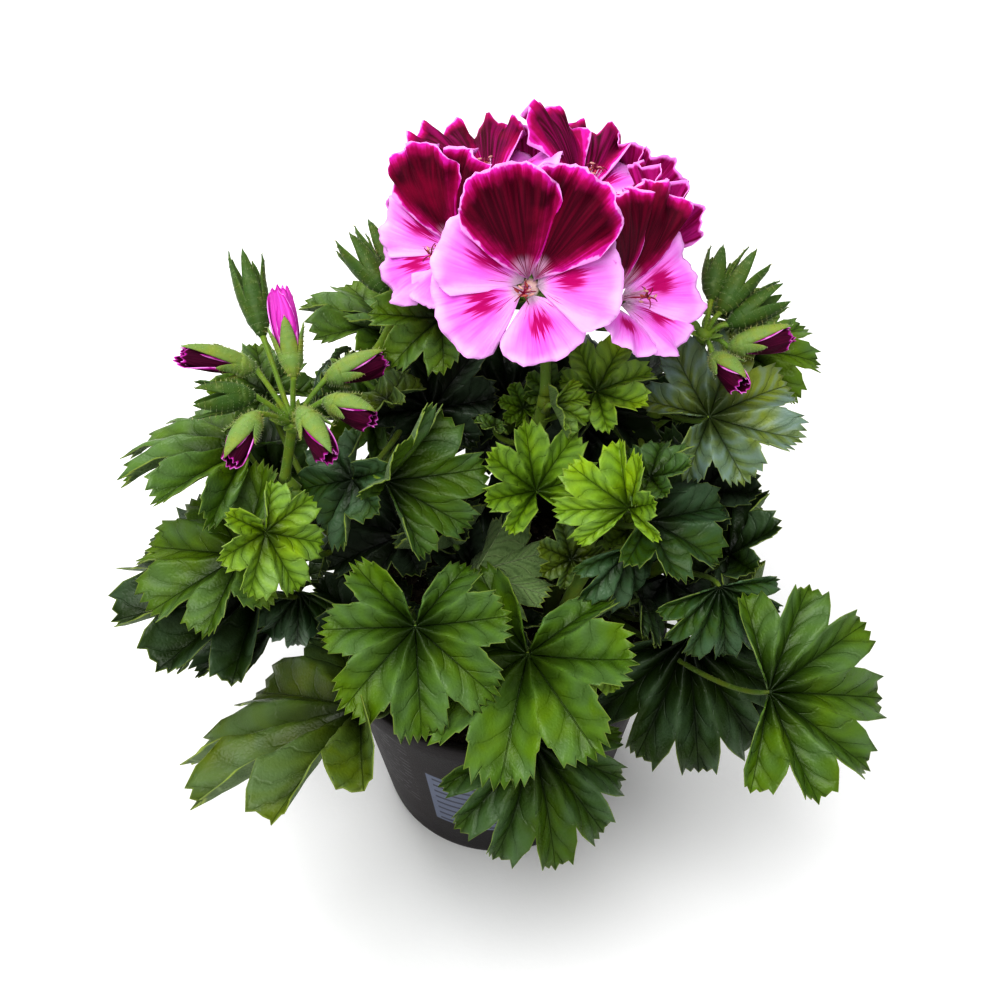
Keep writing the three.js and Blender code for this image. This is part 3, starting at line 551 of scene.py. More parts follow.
def turned(profile, segments):
    """A body turned about +Z from a profile of [radius, height] that ends on the axis."""
    points, faces = [], []
    a = 2 * math.pi * np.arange(segments) / segments
    for radius, height in profile:
        if radius < 1e-6:
            points.append([[0, 0, height]])
        else:
            points.append(np.column_stack([radius * np.cos(a), radius * np.sin(a),
                                           np.full(segments, height)]))
    starts = np.cumsum([0] + [len(p) for p in points])
    for i in range(len(profile) - 1):
        one, two = len(points[i]), len(points[i + 1])
        for k in range(segments):
            face = [starts[i] + k % one, starts[i] + (k + 1) % one,
                    starts[i + 1] + (k + 1) % two, starts[i + 1] + k % two]
            face = [v for j, v in enumerate(face) if v not in face[:j]]
            if len(face) > 2:
                faces.append(face)
    return np.vstack(points), faces


def hairs_on(piece, roots, outs, kind):
    """Fine tapered hairs, each a closed spike of four faces."""
    for root, out in zip(roots, outs):
        out = unit(out + rng.normal(0, 0.25, 3))
        side = unit(np.cross(out, [0.3, 0.5, 0.81]))
        other = np.cross(out, side)
        base = [root + HAIR_RADIUS * (math.cos(a) * side + math.sin(a) * other)
                for a in (0, 2.09, 4.19)]
        tip = root + out * kind["length"] * rng.uniform(0.6, 1.2)
        piece.add([*base, tip], [[0, 2, 1], [0, 1, 3], [1, 2, 3], [2, 0, 3]], None,
                  kind["tint"], STALK)


def hairs_along(piece, path, radius, kind):
    """Hairs that stand out all round a stalk, at random places along it."""
    steps = rng.uniform(0, len(path) - 1.001, kind["count"])
    low = steps.astype(int)
    share = (steps - low)[:, None]
    centres = path[low] * (1 - share) + path[low + 1] * share
    tangents = path[low + 1] - path[low]
    outs = np.cross(tangents, rng.normal(0, 1, (kind["count"], 3)))
    outs /= np.linalg.norm(outs, axis=1)[:, None]
    hairs_on(piece, centres + outs * radius * 0.9, outs, kind)


# Materials

NAMES = {"specular": "Specular IOR Level", "sheen": "Sheen Weight"}


class Tree:
    """A material's nodes, with short names for the few kinds in use."""

    def __init__(self, name):
        self.material = bpy.data.materials.new(name)
        self.material.use_nodes = True
        self.tree = self.material.node_tree
        self.shader = self.tree.nodes["Principled BSDF"]

    def put(self, value, socket):
        if isinstance(value, bpy.types.NodeSocket):
            self.tree.links.new(value, socket)
        else:
            socket.default_value = value

    def node(self, kind, inputs=None, **settings):
        node = self.tree.nodes.new("ShaderNode" + kind)
        for name, value in settings.items():
            setattr(node, name, value)
        for name, value in (inputs or {}).items():
            self.put(value, node.inputs[name])
        return node

    def math(self, operation, a, b=0.0, c=0.0):
        return self.node("Math", {0: a, 1: b, 2: c}, operation=operation).outputs[0]

    def plus(self, a, b):
        return self.math("ADD", a, b)

    def minus(self, a, b):
        return self.math("SUBTRACT", a, b)

    def times(self, a, b):
        return self.math("MULTIPLY", a, b)

    def total(self, *terms):
        """The sum of some values, each times its weight."""
        result = 0.0
        for value, weight in terms:
            result = self.math("MULTIPLY_ADD", value, weight, result)
        return result

    def from_whole(self, value):
        """How far a value lies from the nearest whole number."""
        return self.minus(value, self.math("ROUND", value))

    def step(self, low, high, value):
        """0 below low, 1 above high, and smooth between; low may be the larger."""
        flip = low > high
        if flip:
            low, high = high, low
        ends = {"Value": value, "From Min": low, "From Max": high,
                "To Min": 1.0 if flip else 0.0, "To Max": 0.0 if flip else 1.0}
        return self.node("MapRange", ends, interpolation_type="SMOOTHSTEP").outputs[0]

    def mix(self, share, a, b, blend="MIX"):
        node = self.node("Mix", data_type="RGBA", blend_type=blend)
        for index, value in ((0, share), (6, a), (7, b)):
            self.put((*value, 1) if isinstance(value, tuple) and len(value) == 3 else value,
                     node.inputs[index])
        return node.outputs[2]

    def over(self, under, mask, share, color):
        """A colour laid over another where a mask shows it, at a share of its strength."""
        return self.mix(self.times(mask, share), under, color)

    def tint(self):
        return self.node("Attribute", attribute_name="tint").outputs["Color"]

    def shaded(self, tint, *factors):
        return self.mix(1.0, tint, factors, "MULTIPLY")

    def spot(self):
        place = self.node("Attribute", attribute_name="spot").outputs["Vector"]
        return self.node("SeparateXYZ", {0: place}).outputs

    def object_place(self):
        return self.node("TexCoord").outputs["Object"]

    def noise(self, scale, detail=3.0, at=None):
        inputs = {"Vector": at or self.object_place(), "Scale": scale, "Detail": detail}
        return self.node("TexNoise", inputs).outputs["Fac"]

    def cells(self, scale):
        """Distance from the borders between cells."""
        inputs = {"Vector": self.object_place(), "Scale": scale}
        return self.node("TexVoronoi", inputs, feature="DISTANCE_TO_EDGE").outputs["Distance"]

    def place(self, x, y, z):
        return self.node("CombineXYZ", {0: x, 1: y, 2: z}).outputs[0]

    def bump(self, height, distance):
        inputs = {"Height": height, "Distance": distance * MM}
        self.put(self.node("Bump", inputs).outputs[0], self.shader.inputs["Normal"])

    def finish(self, color, roughness, **constants):
        self.put(color, self.shader.inputs["Base Color"])
        self.put(roughness, self.shader.inputs["Roughness"])
        for name, value in constants.items():
            self.shader.inputs[NAMES[name]].default_value = value
        return self.material


def veins_of(t):
    """A leaf's share of reach, masks for its main and side veins, the distance from the
    nearest side vein, and the distance from the middle of the lobe."""
    lobe, share, _ = t.spot()
    off = t.from_whole(lobe)
    away = t.times(t.times(t.math("ABSOLUTE", off), share), LOBE_TURN)
    width = t.math("MULTIPLY_ADD", share, -0.008, 0.014)
    main = t.node("MapRange", {"Value": away, "From Min": width, "From Max": 0.002},
                  interpolation_type="SMOOTHSTEP").outputs[0]
    shift = t.times(t.math("SIGN", off), SIDE_SHIFT)
    inward = t.plus(share, t.times(away, -SIDE_SLOPE))
    wobble = t.times(t.minus(t.noise(90.0, 2.0), 0.5), 0.5)
    along = t.plus(t.math("MULTIPLY_ADD", inward, SIDE_COUNT, shift), wobble)
    near = t.math("ABSOLUTE", t.from_whole(along))
    side = t.times(t.step(0.08, 0.01, near), t.step(0.004, 0.03, away))
    return share, main, side, near, t.math("ABSOLUTE", off)


def leaf_top():
    t = Tree("leaf_top")
    share, main, side, near, off = veins_of(t)
    tint = t.tint()
    patches = t.noise(45.0)
    color = t.mix(t.step(0.42, 0.66, patches), tint, t.shaded(tint, 2.1, 1.75, 0.4))
    # Painted sheen: in patches away from each lobe's middle, on the outer blade, the green is laid
    # over with a paler, greyer and bluer tint that stands for light reflected off the leaf.
    between = t.times(t.step(0.06, 0.26, off), t.step(0.3, 0.8, share))
    outer = t.times(between, t.step(0.68, 0.42, patches))
    color = t.over(color, outer, 0.7, t.shaded(tint, 1.9, 1.75, 3.6))
    color = t.over(color, outer, 0.32, (0.17, 0.26, 0.16))
    # Painted highlight: the ridges halfway between the side veins are made lighter and bluer, as
    # if lit.
    ridge = t.times(t.step(0.22, 0.46, near), t.step(0.15, 0.5, share))
    color = t.over(color, ridge, 0.35, t.shaded(tint, 2.1, 1.9, 4.5))
    # Painted shade: the fold along each lobe's middle is darkened, fading towards the margin.
    painted_valley_shade = t.times(t.step(0.17, 0.0, off), t.step(1.05, 0.45, share))
    color = t.over(color, painted_valley_shade, 0.6, t.shaded(tint, 0.26, 0.32, 0.12))
    # Painted shade: the heart of the leaf, round its stalk, is darkened strongly.
    painted_heart_shade = t.step(0.62, 0.08, share)
    color = t.over(color, painted_heart_shade, 0.9, t.shaded(tint, 0.14, 0.18, 0.06))
    # Painted shade: a soft darkening along the creases of the side veins.
    color = t.over(color, t.step(0.36, 0.0, near), 0.18, t.shaded(tint, 0.38, 0.42, 0.30))
    # The main veins are darker: partly their own colour, partly painted shade in their grooves.
    color = t.over(color, main, 0.16, t.shaded(tint, 0.35, 0.42, 0.4))
    color = t.over(color, t.step(0.984, 1.0, share), 0.5, (0.24, 0.30, 0.06))
    puckers = t.math("MINIMUM", near, 0.4)
    pores = t.math("MINIMUM", t.cells(620.0), 0.35)
    t.bump(t.total((main, -0.7), (side, -0.3), (puckers, 1.1), (pores, 0.35),
                   (t.noise(900.0, 2.0), 0.15)), 0.5)
    rough = t.math("MULTIPLY_ADD", t.noise(70.0), 0.2, 0.30)
    return t.finish(color, rough, specular=0.3)


def leaf_under():
    t = Tree("leaf_under")
    share, main, side, near, _ = veins_of(t)
    color = t.mix(0.55, t.tint(), (0.20, 0.27, 0.13))
    color = t.over(color, t.noise(60.0), 0.4, (0.12, 0.20, 0.07))
    color = t.over(color, main, 0.8, (0.34, 0.42, 0.22))
    color = t.over(color, side, 0.45, (0.28, 0.36, 0.17))
    color = t.over(color, t.step(0.30, 0.48, near), 0.5, (0.07, 0.12, 0.04))
    color = t.mix(t.step(0.965, 0.995, share), color, (0.30, 0.38, 0.08))
    t.bump(t.total((main, 1.0), (side, 0.6), (t.cells(620.0), -0.8)), 0.5)
    return t.finish(color, 0.62, specular=0.2, sheen=0.05)


def stalk_green():
    """Stems, stalks, sepals and their hairs."""
    t = Tree("stalk_green")
    tint = t.tint()
    color = t.mix(t.step(0.35, 0.75, t.noise(160.0)), tint, t.shaded(tint, 1.35, 1.05, 0.6))
    flecks = t.step(0.55, 0.8, t.noise(420.0, 2.0))
    color = t.over(color, flecks, 0.25, (0.30, 0.36, 0.16))
    t.bump(t.noise(700.0), 0.25)
    return t.finish(color, 0.5, specular=0.25, sheen=0.05)


def petal_tree(name, seed, fine=14.0):
    """A petal's material, with its place values, and the streaks that run along it."""
    t = Tree(name)
    t.across, t.share, t.number = t.spot()
    return t, streaks(t, seed, fine)


def streaks(t, seed, fine):
    at = t.place(t.times(t.across, fine), t.times(t.share, 1.6), t.plus(t.number, seed))
    return t.noise(1.0, 3.0, at)


def petal_edge(t):
    """Distance from a petal's margin, as a share of its length, with a ragged line."""
    side = t.minus(1.0, t.math("ABSOLUTE", t.across))
    near = t.math("MINIMUM", t.minus(1.0, t.share), t.times(t.times(side, t.share), 0.5))
    return t.plus(near, t.times(t.minus(t.noise(260.0, 2.0), 0.5), 0.07))


def petal_dark_face():
    t, lines = petal_tree("petal_dark_face", 0.0)
    edge = petal_edge(t)
    color = t.mix(t.step(0.35, 0.7, lines), (0.062, 0.001, 0.013), t.tint())
    glow = t.step(0.5, 0.75, t.noise(60.0, 2.0))
    color = t.over(color, glow, 0.6, (0.29, 0.001, 0.050))
    broken = t.plus(edge, t.times(t.minus(lines, 0.5), 0.16))
    color = t.mix(t.step(0.14, 0.04, broken), color, (0.36, 0.002, 0.10))
    color = t.mix(t.step(0.065, 0.015, broken), color, (0.60, 0.02, 0.36))
    color = t.mix(t.step(0.022, 0.006, edge), color, (0.84, 0.36, 0.78))
    throat = t.times(t.step(0.34, 0.20, t.share), t.step(0.60, 0.46, lines))
    color = t.mix(throat, color, (0.62, 0.42, 0.55))
    t.bump(t.total((lines, 1.0), (t.noise(900.0), 0.3)), 0.5)
    return t.finish(color, 0.62, specular=0.1)


def petal_dark_back():
    t, lines = petal_tree("petal_dark_back", 3.0)
    color = t.mix(t.step(0.35, 0.65, lines), (0.50, 0.02, 0.26), (0.24, 0.002, 0.07))
    color = t.mix(t.step(0.25, 0.6, t.share), (0.66, 0.22, 0.62), color)
    color = t.mix(t.step(0.05, 0.01, petal_edge(t)), color, (0.80, 0.28, 0.74))
    t.bump(lines, 0.5)
    return t.finish(color, 0.6, specular=0.12)


def petal_pale_face():
    """Pink, with a pale throat, a ragged red blotch in the middle and thin lines to it."""
    t, lines = petal_tree("petal_pale_face", 7.0, 11.0)
    blush = t.step(0.30, 0.70, t.noise(55.0, 2.0))
    color = t.mix(blush, (0.80, 0.34, 0.80), (0.76, 0.21, 0.76))
    color = t.mix(t.step(0.16, 0.01, petal_edge(t)), color, (0.86, 0.44, 0.87))
    color = t.mix(t.step(0.26, 0.10, t.share), color, (0.66, 0.50, 0.62))
    ragged = t.total((lines, 0.5), (streaks(t, 2.0, 26.0), 0.5))
    bent = t.plus(t.share, t.times(t.minus(ragged, 0.5), 0.9))
    middle = t.math("DIVIDE", t.minus(bent, 0.50), 0.18)
    wide = t.math("DIVIDE", t.across, 0.40)
    far = t.math("SQRT", t.plus(t.times(middle, middle), t.times(wide, wide)))
    color = t.over(color, t.step(2.4, 0.7, far), 0.6, (0.74, 0.06, 0.55))
    color = t.mix(t.step(1.15, 0.55, far), color, (0.43, 0.002, 0.15))
    thin = t.step(0.60, 0.66, streaks(t, 1.0, 18.0))
    reach = t.times(t.step(0.12, 0.2, t.share), t.step(0.5, 0.36, t.share))
    color = t.over(color, t.times(thin, reach), 0.8, (0.35, 0.004, 0.09))
    t.bump(t.total((lines, 1.0), (t.noise(900.0), 0.3)), 0.45)
    return t.finish(color, 0.58, specular=0.12)


def petal_pale_back():
    t, lines = petal_tree("petal_pale_back", 9.0)
    color = t.mix(t.step(0.35, 0.7, lines), (0.86, 0.50, 0.86), (0.76, 0.30, 0.78))
    color = t.mix(t.step(0.35, 0.1, t.share), color, (0.70, 0.62, 0.62))
    t.bump(lines, 0.45)
    return t.finish(color, 0.58, specular=0.12)


def bud_petal():
    """Rolled petals of an open bud: the tint gives the middle's colour."""
    t, lines = petal_tree("bud_petal", 5.0, 8.0)
    tint = t.tint()
    edge = petal_edge(t)
    color = t.mix(t.step(0.4, 0.7, lines), tint, t.shaded(tint, 1.6, 1.9, 1.5))
    color = t.mix(t.step(0.055, 0.015, edge), color, (0.45, 0.02, 0.33))
    color = t.mix(t.step(0.012, 0.0, edge), color, (0.80, 0.30, 0.74))
    t.bump(lines, 0.5)
    return t.finish(color, 0.6, specular=0.12)


def filament():
    t = Tree("filament")
    tint = t.tint()
    color = t.mix(t.step(0.4, 0.6, t.noise(500.0)), tint, t.shaded(tint, 0.85, 0.7, 0.75))
    return t.finish(color, 0.45, specular=0.4)


def pot_plastic():
    """Charcoal plastic with a plain striped panel printed on its front left, and faint
    broken lines beside it. Turns are in degrees about the pot, heights in millimetres."""
    t = Tree("pot_plastic")
    x, y, z = t.node("SeparateXYZ", {0: t.object_place()}).outputs
    turn = t.math("DEGREES", t.math("ARCTAN2", x, t.times(y, -1.0)))
    up = t.times(z, 1 / MM)

    def inside(value, low, high, soft):
        return t.times(t.step(low - soft, low + soft, value),
                       t.step(high + soft, high - soft, value))

    panel = t.times(inside(turn, *PANEL["turns"], 0.25), inside(up, *PANEL["heights"], 0.25))
    foot = t.minus(up, PANEL["heights"][0])
    wave = t.math("FRACT", t.math("DIVIDE", foot, PANEL["pitch"]))
    stripe = t.times(inside(wave, 0.30, 0.58, 0.05), inside(turn, *PANEL["stripes"], 0.2))
    line = t.math("DIVIDE", up, LINES["pitch"])
    row = inside(t.math("FRACT", line), 0.40, 0.62, 0.08)
    faint = t.times(t.times(row, inside(turn, *LINES["turns"], 0.6)),
                    inside(up, *LINES["heights"], 0.3))
    breaks = t.noise(1.0, 0.0, t.place(t.times(turn, 0.22), t.math("FLOOR", line), 0.0))
    faint = t.times(faint, t.step(0.47, 0.53, breaks))
    dust = t.noise(38.0, 4.0)
    color = t.mix(t.step(0.35, 0.75, dust), (0.012, 0.009, 0.010), (0.022, 0.017, 0.018))
    color = t.over(color, faint, 0.5, (0.16, 0.15, 0.16))
    color = t.mix(panel, color, t.mix(stripe, (0.14, 0.16, 0.22), (0.045, 0.05, 0.075)))
    scuff = t.step(0.62, 0.72, t.noise(260.0, 5.0))
    color = t.over(color, scuff, 0.2, (0.10, 0.09, 0.09))
    t.bump(t.total((t.noise(1600.0, 2.0), 1.0), (t.noise(90.0), 0.8)), 0.12)
    rough = t.math("MULTIPLY_ADD", dust, 0.25, 0.36)
    return t.finish(color, rough, specular=0.25)


def soil_crumb():
    t = Tree("soil_crumb")
    grain = t.noise(300.0, 6.0)
    color = t.mix(t.step(0.35, 0.7, grain), (0.016, 0.010, 0.007), (0.075, 0.050, 0.034))
    color = t.mix(t.step(0.70, 0.74, t.noise(520.0, 1.0)), color, (0.42, 0.40, 0.36))
    t.bump(t.plus(grain, t.cells(420.0)), 1.4)
    return t.finish(color, 0.9, specular=0.2)


def floor_white():
    t = Tree("floor_white")
    color = t.mix(t.noise(9.0, 2.0), (0.815, 0.815, 0.82), (0.835, 0.835, 0.835))
    t.bump(t.noise(400.0, 2.0), 0.05)
    return t.finish(color, 0.6, specular=0.2)


GREEN = [leaf_top(), leaf_under(), stalk_green()]
DARK = [petal_dark_face(), petal_dark_back()]
PALE = [petal_pale_face(), petal_pale_back(), filament()]
BUD = [bud_petal()]


# Leaves


def leaf_from(stem, joint, tip, turn, habit, tone):
    joint, tip = np.array(joint, float), np.array(tip, float)
    return {"stem": stem, "habit": habit, "tone": tone, "joint": joint,
            "size": float(np.linalg.norm(tip - joint)),
            "frame": frame_along(joint, tip, turn), "phase": 6 * next(draw)}


def nearest_stem(point):
    return min(STEMS, key=lambda name: math.dist(STEMS[name]["top"][:2], point[:2]))


def ring_leaf(ring, i, tone):
    def between(low, high):
        return low + (high - low) * next(ring_draw)

    def out(distance, height):
        return [distance * math.cos(azimuth), distance * math.sin(azimuth), height]

    start, end = ring["azimuths"]
    azimuth = math.radians(start + (end - start) * i / (ring["count"] - 1) + between(-6, 6))
    dip = math.radians(ring["dip"] + between(-10, 10))
    joint = out(ring["radius"], ring["height"] + between(-5, 5))
    reach = ring["length"] * between(0.85, 1.1)
    tip = out(ring["radius"] + reach * math.cos(dip), joint[2] - reach * math.sin(dip))
    return leaf_from(nearest_stem(joint), joint, tip, between(-25, 25), ring["habit"], tone)


def bent(y, z, length, angle):
    """A flat blade's y and z once it droops through an angle along its length."""
    if not angle:
        return y, z
    rate = angle / length
    along = np.sin(rate * y) / rate + z * np.sin(rate * y)
    above = (np.cos(rate * y) - 1) / rate + z * np.cos(rate * y)
    cos, sin = math.cos(angle / 2), math.sin(angle / 2)
    return along * cos - above * sin, along * sin + above * cos


def teeth_of(leaf):
    """Teeth to a lobe, and how deep they are cut: few and shallow in an old leaf."""
    if leaf["habit"] in OLD_HABITS:
        return 7, 0.024
    return (10 if leaf["size"] > 30 else 7 if leaf["size"] > 16 else 4), 0.042


def leaf_outline(degrees, bite, chance):
    """Reach of a leaf's margin with its lobes, and the factor that its small lobes and its
    teeth put on it, point by point."""
    notch = 0.5 - 0.5 * np.cos(2 * math.pi * degrees / VEIN_STEP)
    lobes = 1 - 0.28 * notch ** 4
    small = 1 + 0.022 * np.cos(6 * math.pi * degrees / VEIN_STEP)
    turn_back = 0.86 + 0.14 * np.cos(np.radians(degrees))
    sinus = 1 - 0.45 * smoothstep(150, LEAF_EDGE, np.abs(degrees))
    points = np.where(np.arange(len(degrees)) % 2, 1 + bite * (0.8 + 0.4 * chance), 1 - bite)
    return lobes * turn_back * sinus, small * points


def leaf_height(habit, deg, share, angle, phase):
    """Height of a leaf's blade over its plane, as a share of its length: a cup, a ridge
    between veins, waves of the margin, and grooves along the main and side veins."""
    ridge = 0.5 - 0.5 * np.cos(2 * math.pi * deg / VEIN_STEP)
    off = deg / VEIN_STEP - np.round(deg / VEIN_STEP)
    away = np.abs(off) * share * LOBE_TURN
    along = (share - SIDE_SLOPE * away) * SIDE_COUNT + SIDE_SHIFT * np.sign(off)
    return (habit["cup"] * share ** 2 + 0.14 * ridge * share
            + habit["wave"] * np.sin(3 * angle + phase) * share ** 3
            - 0.022 * np.exp(-(away / 0.025) ** 2) * (1.1 - share)
            - 0.009 * np.cos(2 * math.pi * along) * smoothstep(0.01, 0.08, away)
            + 0.022 * np.sin(9 * angle + 3 * phase) * share ** 5)


def add_leaf(piece, leaf):
    habit = HABITS[leaf["habit"]]
    size, phase, droop = leaf["size"], leaf["phase"], habit["droop"]
    teeth, bite = teeth_of(leaf)
    step = VEIN_STEP / teeth / 2
    degrees = np.arange(-LEAF_EDGE, LEAF_EDGE + 0.01, step)
    lean = 0.3 * step * np.sin(2 * math.pi * degrees / VEIN_STEP)
    degrees = np.where(np.arange(len(degrees)) % 2, degrees - lean, degrees)
    outline, toothed = leaf_outline(degrees, bite, rng.normal(0, 1, len(degrees)))
    share, deg = lattice(LEAF_SHARES, degrees)
    angle = np.radians(deg * habit["span"])
    arc = size * (droop / 2) / math.sin(droop / 2) if droop else size
    reach = share * arc * outline * (1 + (toothed - 1) * smoothstep(0.84, 1.0, share))
    x, y = reach * np.sin(angle), reach * np.cos(angle)
    z = arc * leaf_height(habit, deg, share, angle, phase) + habit["fold"] * np.abs(x)
    y, z = bent(y, z, arc, droop)
    grid = laid(x, y, z, leaf["joint"], leaf["frame"])
    tone = np.array(TONES[leaf["tone"]]) * (1 + 0.12 * math.sin(7 * phase))
    add_blade(piece, leaf["joint"], grid, LEAF_BLADE, leaf["frame"][2], tone,
              (LEAF_TOP, LEAF_UNDER), (deg / VEIN_STEP, share, phase))


def stem_path(stem):
    x, y = stem["foot"]
    top = stem["top"]
    side = [(x + top[0]) / 2, (y + top[1]) / 2]
    return [
        [x, y, SOIL["top"] - SOIL["hole"] + GAP],
        [x, y, SOIL["top"] - 8],
        [x, y, SOIL["top"] + 4],
        [x + 0.7 * (side[0] - x), y + 0.7 * (side[1] - y), (SOIL["top"] + top[2]) / 2],
        top,
    ]


def stalk_root(path, blade_at):
    """The point of a stem from which a leaf stalk reaches its blade at a natural rise."""
    samples = through(path, 41)
    samples = samples[samples[:, 2] > POT["height"] + 5]
    wanted = blade_at[2] - 6 - 0.45 * np.hypot(*(samples[:, :2] - blade_at[:2]).T)
    return samples[np.argmin(np.abs(samples[:, 2] - wanted))]


def stalk_path(path, leaf):
    root, joint = stalk_root(path, leaf["joint"]), leaf["joint"]
    length = np.linalg.norm(joint - root)
    outward = (joint - root) * [1, 1, 0]
    leave = root + 0.35 * length * unit(outward) + [0, 0, 0.12 * length]
    arrive = joint - 0.05 * length * leaf["frame"][1] - 0.25 * length * leaf["frame"][2]
    return bezier(root, leave, arrive, joint, 18)


def add_scale(piece, foot, axes, kind):
    """A pointed scale: a hollow blade from its foot to its tip, along the middle axis."""
    length, width = kind["length"], kind["width"]
    s, a = lattice(np.linspace(0.12, 1.0, 6), np.linspace(-1, 1, 5))
    broad = width / 2 * np.sin(math.pi * np.minimum(s, 0.999) ** 0.62) ** 0.9 + 0.06
    z = 0.45 * np.abs(a) ** 2 * broad + kind["curl"] * length * s ** 2
    grid = laid(a * broad, length * s, z, foot, axes)
    add_blade(piece, foot, grid, SCALE_BLADE, axes[2], kind["tint"], (STALK, STALK))


def add_stipules(piece, at, outward):
    """Two small pointed scales where a leaf stalk leaves its stem."""
    for turn in (-0.9, 0.9):
        side = np.cross([0, 0, 1], outward)
        along = outward * math.cos(turn) + side * math.sin(turn) + [0, 0, 0.9]
        axes = axes_along(along, [0, 0, 1])
        add_scale(piece, at + outward * 1.2, axes, STIPULE)


def add_stem(piece, path):
    """A knotty stem, green at its top and brown towards the soil."""
    knots = 1 + 0.12 * np.sin(np.linspace(0, 26, 40)) ** 8
    points, faces = tube(through(path, 40), np.linspace(1.08, 0.85, 40) * STEM_RADIUS * knots, 12)
    age = smoothstep(150, 95, points[:, 2])[:, None]
    tint = np.array(STALK_TONE) * (1 - age) + np.array(WOOD_TONE) * age
    piece.add(points, faces, None, tint, STALK)


leaves = [leaf_from(*row) for row in LEAVES]
ring_places = [(ring, i) for ring in RINGS for i in range(ring["count"])]
for (ring, i), tone in zip(ring_places, RING_TONES):
    leaves.append(ring_leaf(ring, i, tone))

greens = {}
for name, stem in STEMS.items():
    piece = Piece(f"plant_{name}", f"leafy_stem_{name}", "greenery", GREEN)
    path = stem_path(stem)
    add_stem(piece, path)
    for leaf in (each for each in leaves if each["stem"] == name):
        stalk = stalk_path(path, leaf)
        radii = PETIOLE_RADIUS * (0.85 + 0.35 * np.linspace(1, 0, len(stalk)) ** 2)
        radii[-1] *= 0.7
        # Stalks of lower leaves are darker: painted shade inside the plant.
        light = 0.3 + 0.6 * smoothstep(120, 200, leaf["joint"][2])
        add_tube(piece, stalk, radii, 8, np.array(STALK_TONE) * light)
        hairs_along(piece, stalk, PETIOLE_RADIUS, LEAF_STALK_HAIRS)
        add_stipules(piece, stalk[0], unit((leaf["joint"] - stalk[0]) * [1, 1, 0]))
        add_leaf(piece, leaf)
    greens[name] = piece


# Blooms


def bloom_from(throat, facing, upward, turns, size):
    axis = unit(facing)
    up = np.array(upward, float)
    up = unit(up - up.dot(axis) * axis)
    return {"axis": axis, "throat": np.array(throat, float), "up": up,
            "side": np.cross(up, axis), "turns": turns, "size": size, "phase": 6 * next(draw)}


def add_petal(piece, bloom, half, turn, i, tint):
    """A petal that opens from the throat: narrow in its claw, ruffled at its margin."""
    kind = PETAL[half]
    length = bloom["size"] * kind["length"] * (1 - 0.3 * smoothstep(100, 170, abs(turn)))
    phase = bloom["phase"] + 2 * i
    share, u = lattice(np.linspace(0.045, 1, 22), np.linspace(-1, 1, 33))
    angle = np.radians(u * kind["spread"])
    jag = 0.010 * np.sin(13 * u + 5 * phase) + 0.005 * np.sin(37 * u + phase)
    jag = jag + 0.004 * rng.normal(0, 1, u.shape[1])
    margin = 1 - 0.30 * np.abs(u) ** 3 + jag * smoothstep(0.85, 1.0, share)
    narrow, widening, until = kind["claw"]
    reach = share * length * margin
    x = (narrow + widening * smoothstep(0, until, share)) * reach * np.sin(angle)
    y = reach * np.cos(angle)
    ruffle = np.sin(6 * u + phase) * share ** 3
    frill = np.sin(11 * u + 3 * phase) * smoothstep(0.45, 1.0, share) ** 2
    frill = frill + 0.35 * np.sin(27 * u + phase) * smoothstep(0.7, 1.0, share) ** 2
    curl = np.sin(phase + 2.2 * np.sign(u)) * smoothstep(0.5, 1.0, np.abs(u)) ** 2
    groove = np.exp(-(u * share / 0.08) ** 2) * (1 - share)
    z = length * (kind["edge"] * ruffle + kind["frill"] * frill + 0.1 * (x / length) ** 2
                  + 0.085 * curl * share ** 2 - 0.012 * groove)
    start, end = (math.radians(a + LAYER * (i % 2)) for a in kind["open"])
    rate = (end - start) / length
    now = start + rate * y
    outward = HUB_FOOT + (math.cos(start) - np.cos(now)) / rate - z * np.cos(now)
    along = (np.sin(now) - math.sin(start)) / rate + z * np.sin(now) - THROAT
    a = math.radians(turn)
    radial = bloom["up"] * math.cos(a) + bloom["side"] * math.sin(a)
    axes = np.array([radial, bloom["axis"], np.cross(bloom["axis"], radial)])
    grid = laid(outward, along, x, bloom["throat"], axes)
    foot = bloom["throat"] + HUB_FOOT * radial - THROAT * bloom["axis"]
    add_blade(piece, foot, grid, PETAL_BLADE, bloom["axis"], tint, (PETAL_FACE, PETAL_BACK),
              (u, share, phase))


def add_petals(piece, bloom, half, tint):
    for i, turn in enumerate(PETAL[half]["turns"] or bloom["turns"]):
        add_petal(piece, bloom, half, turn, i, tint)


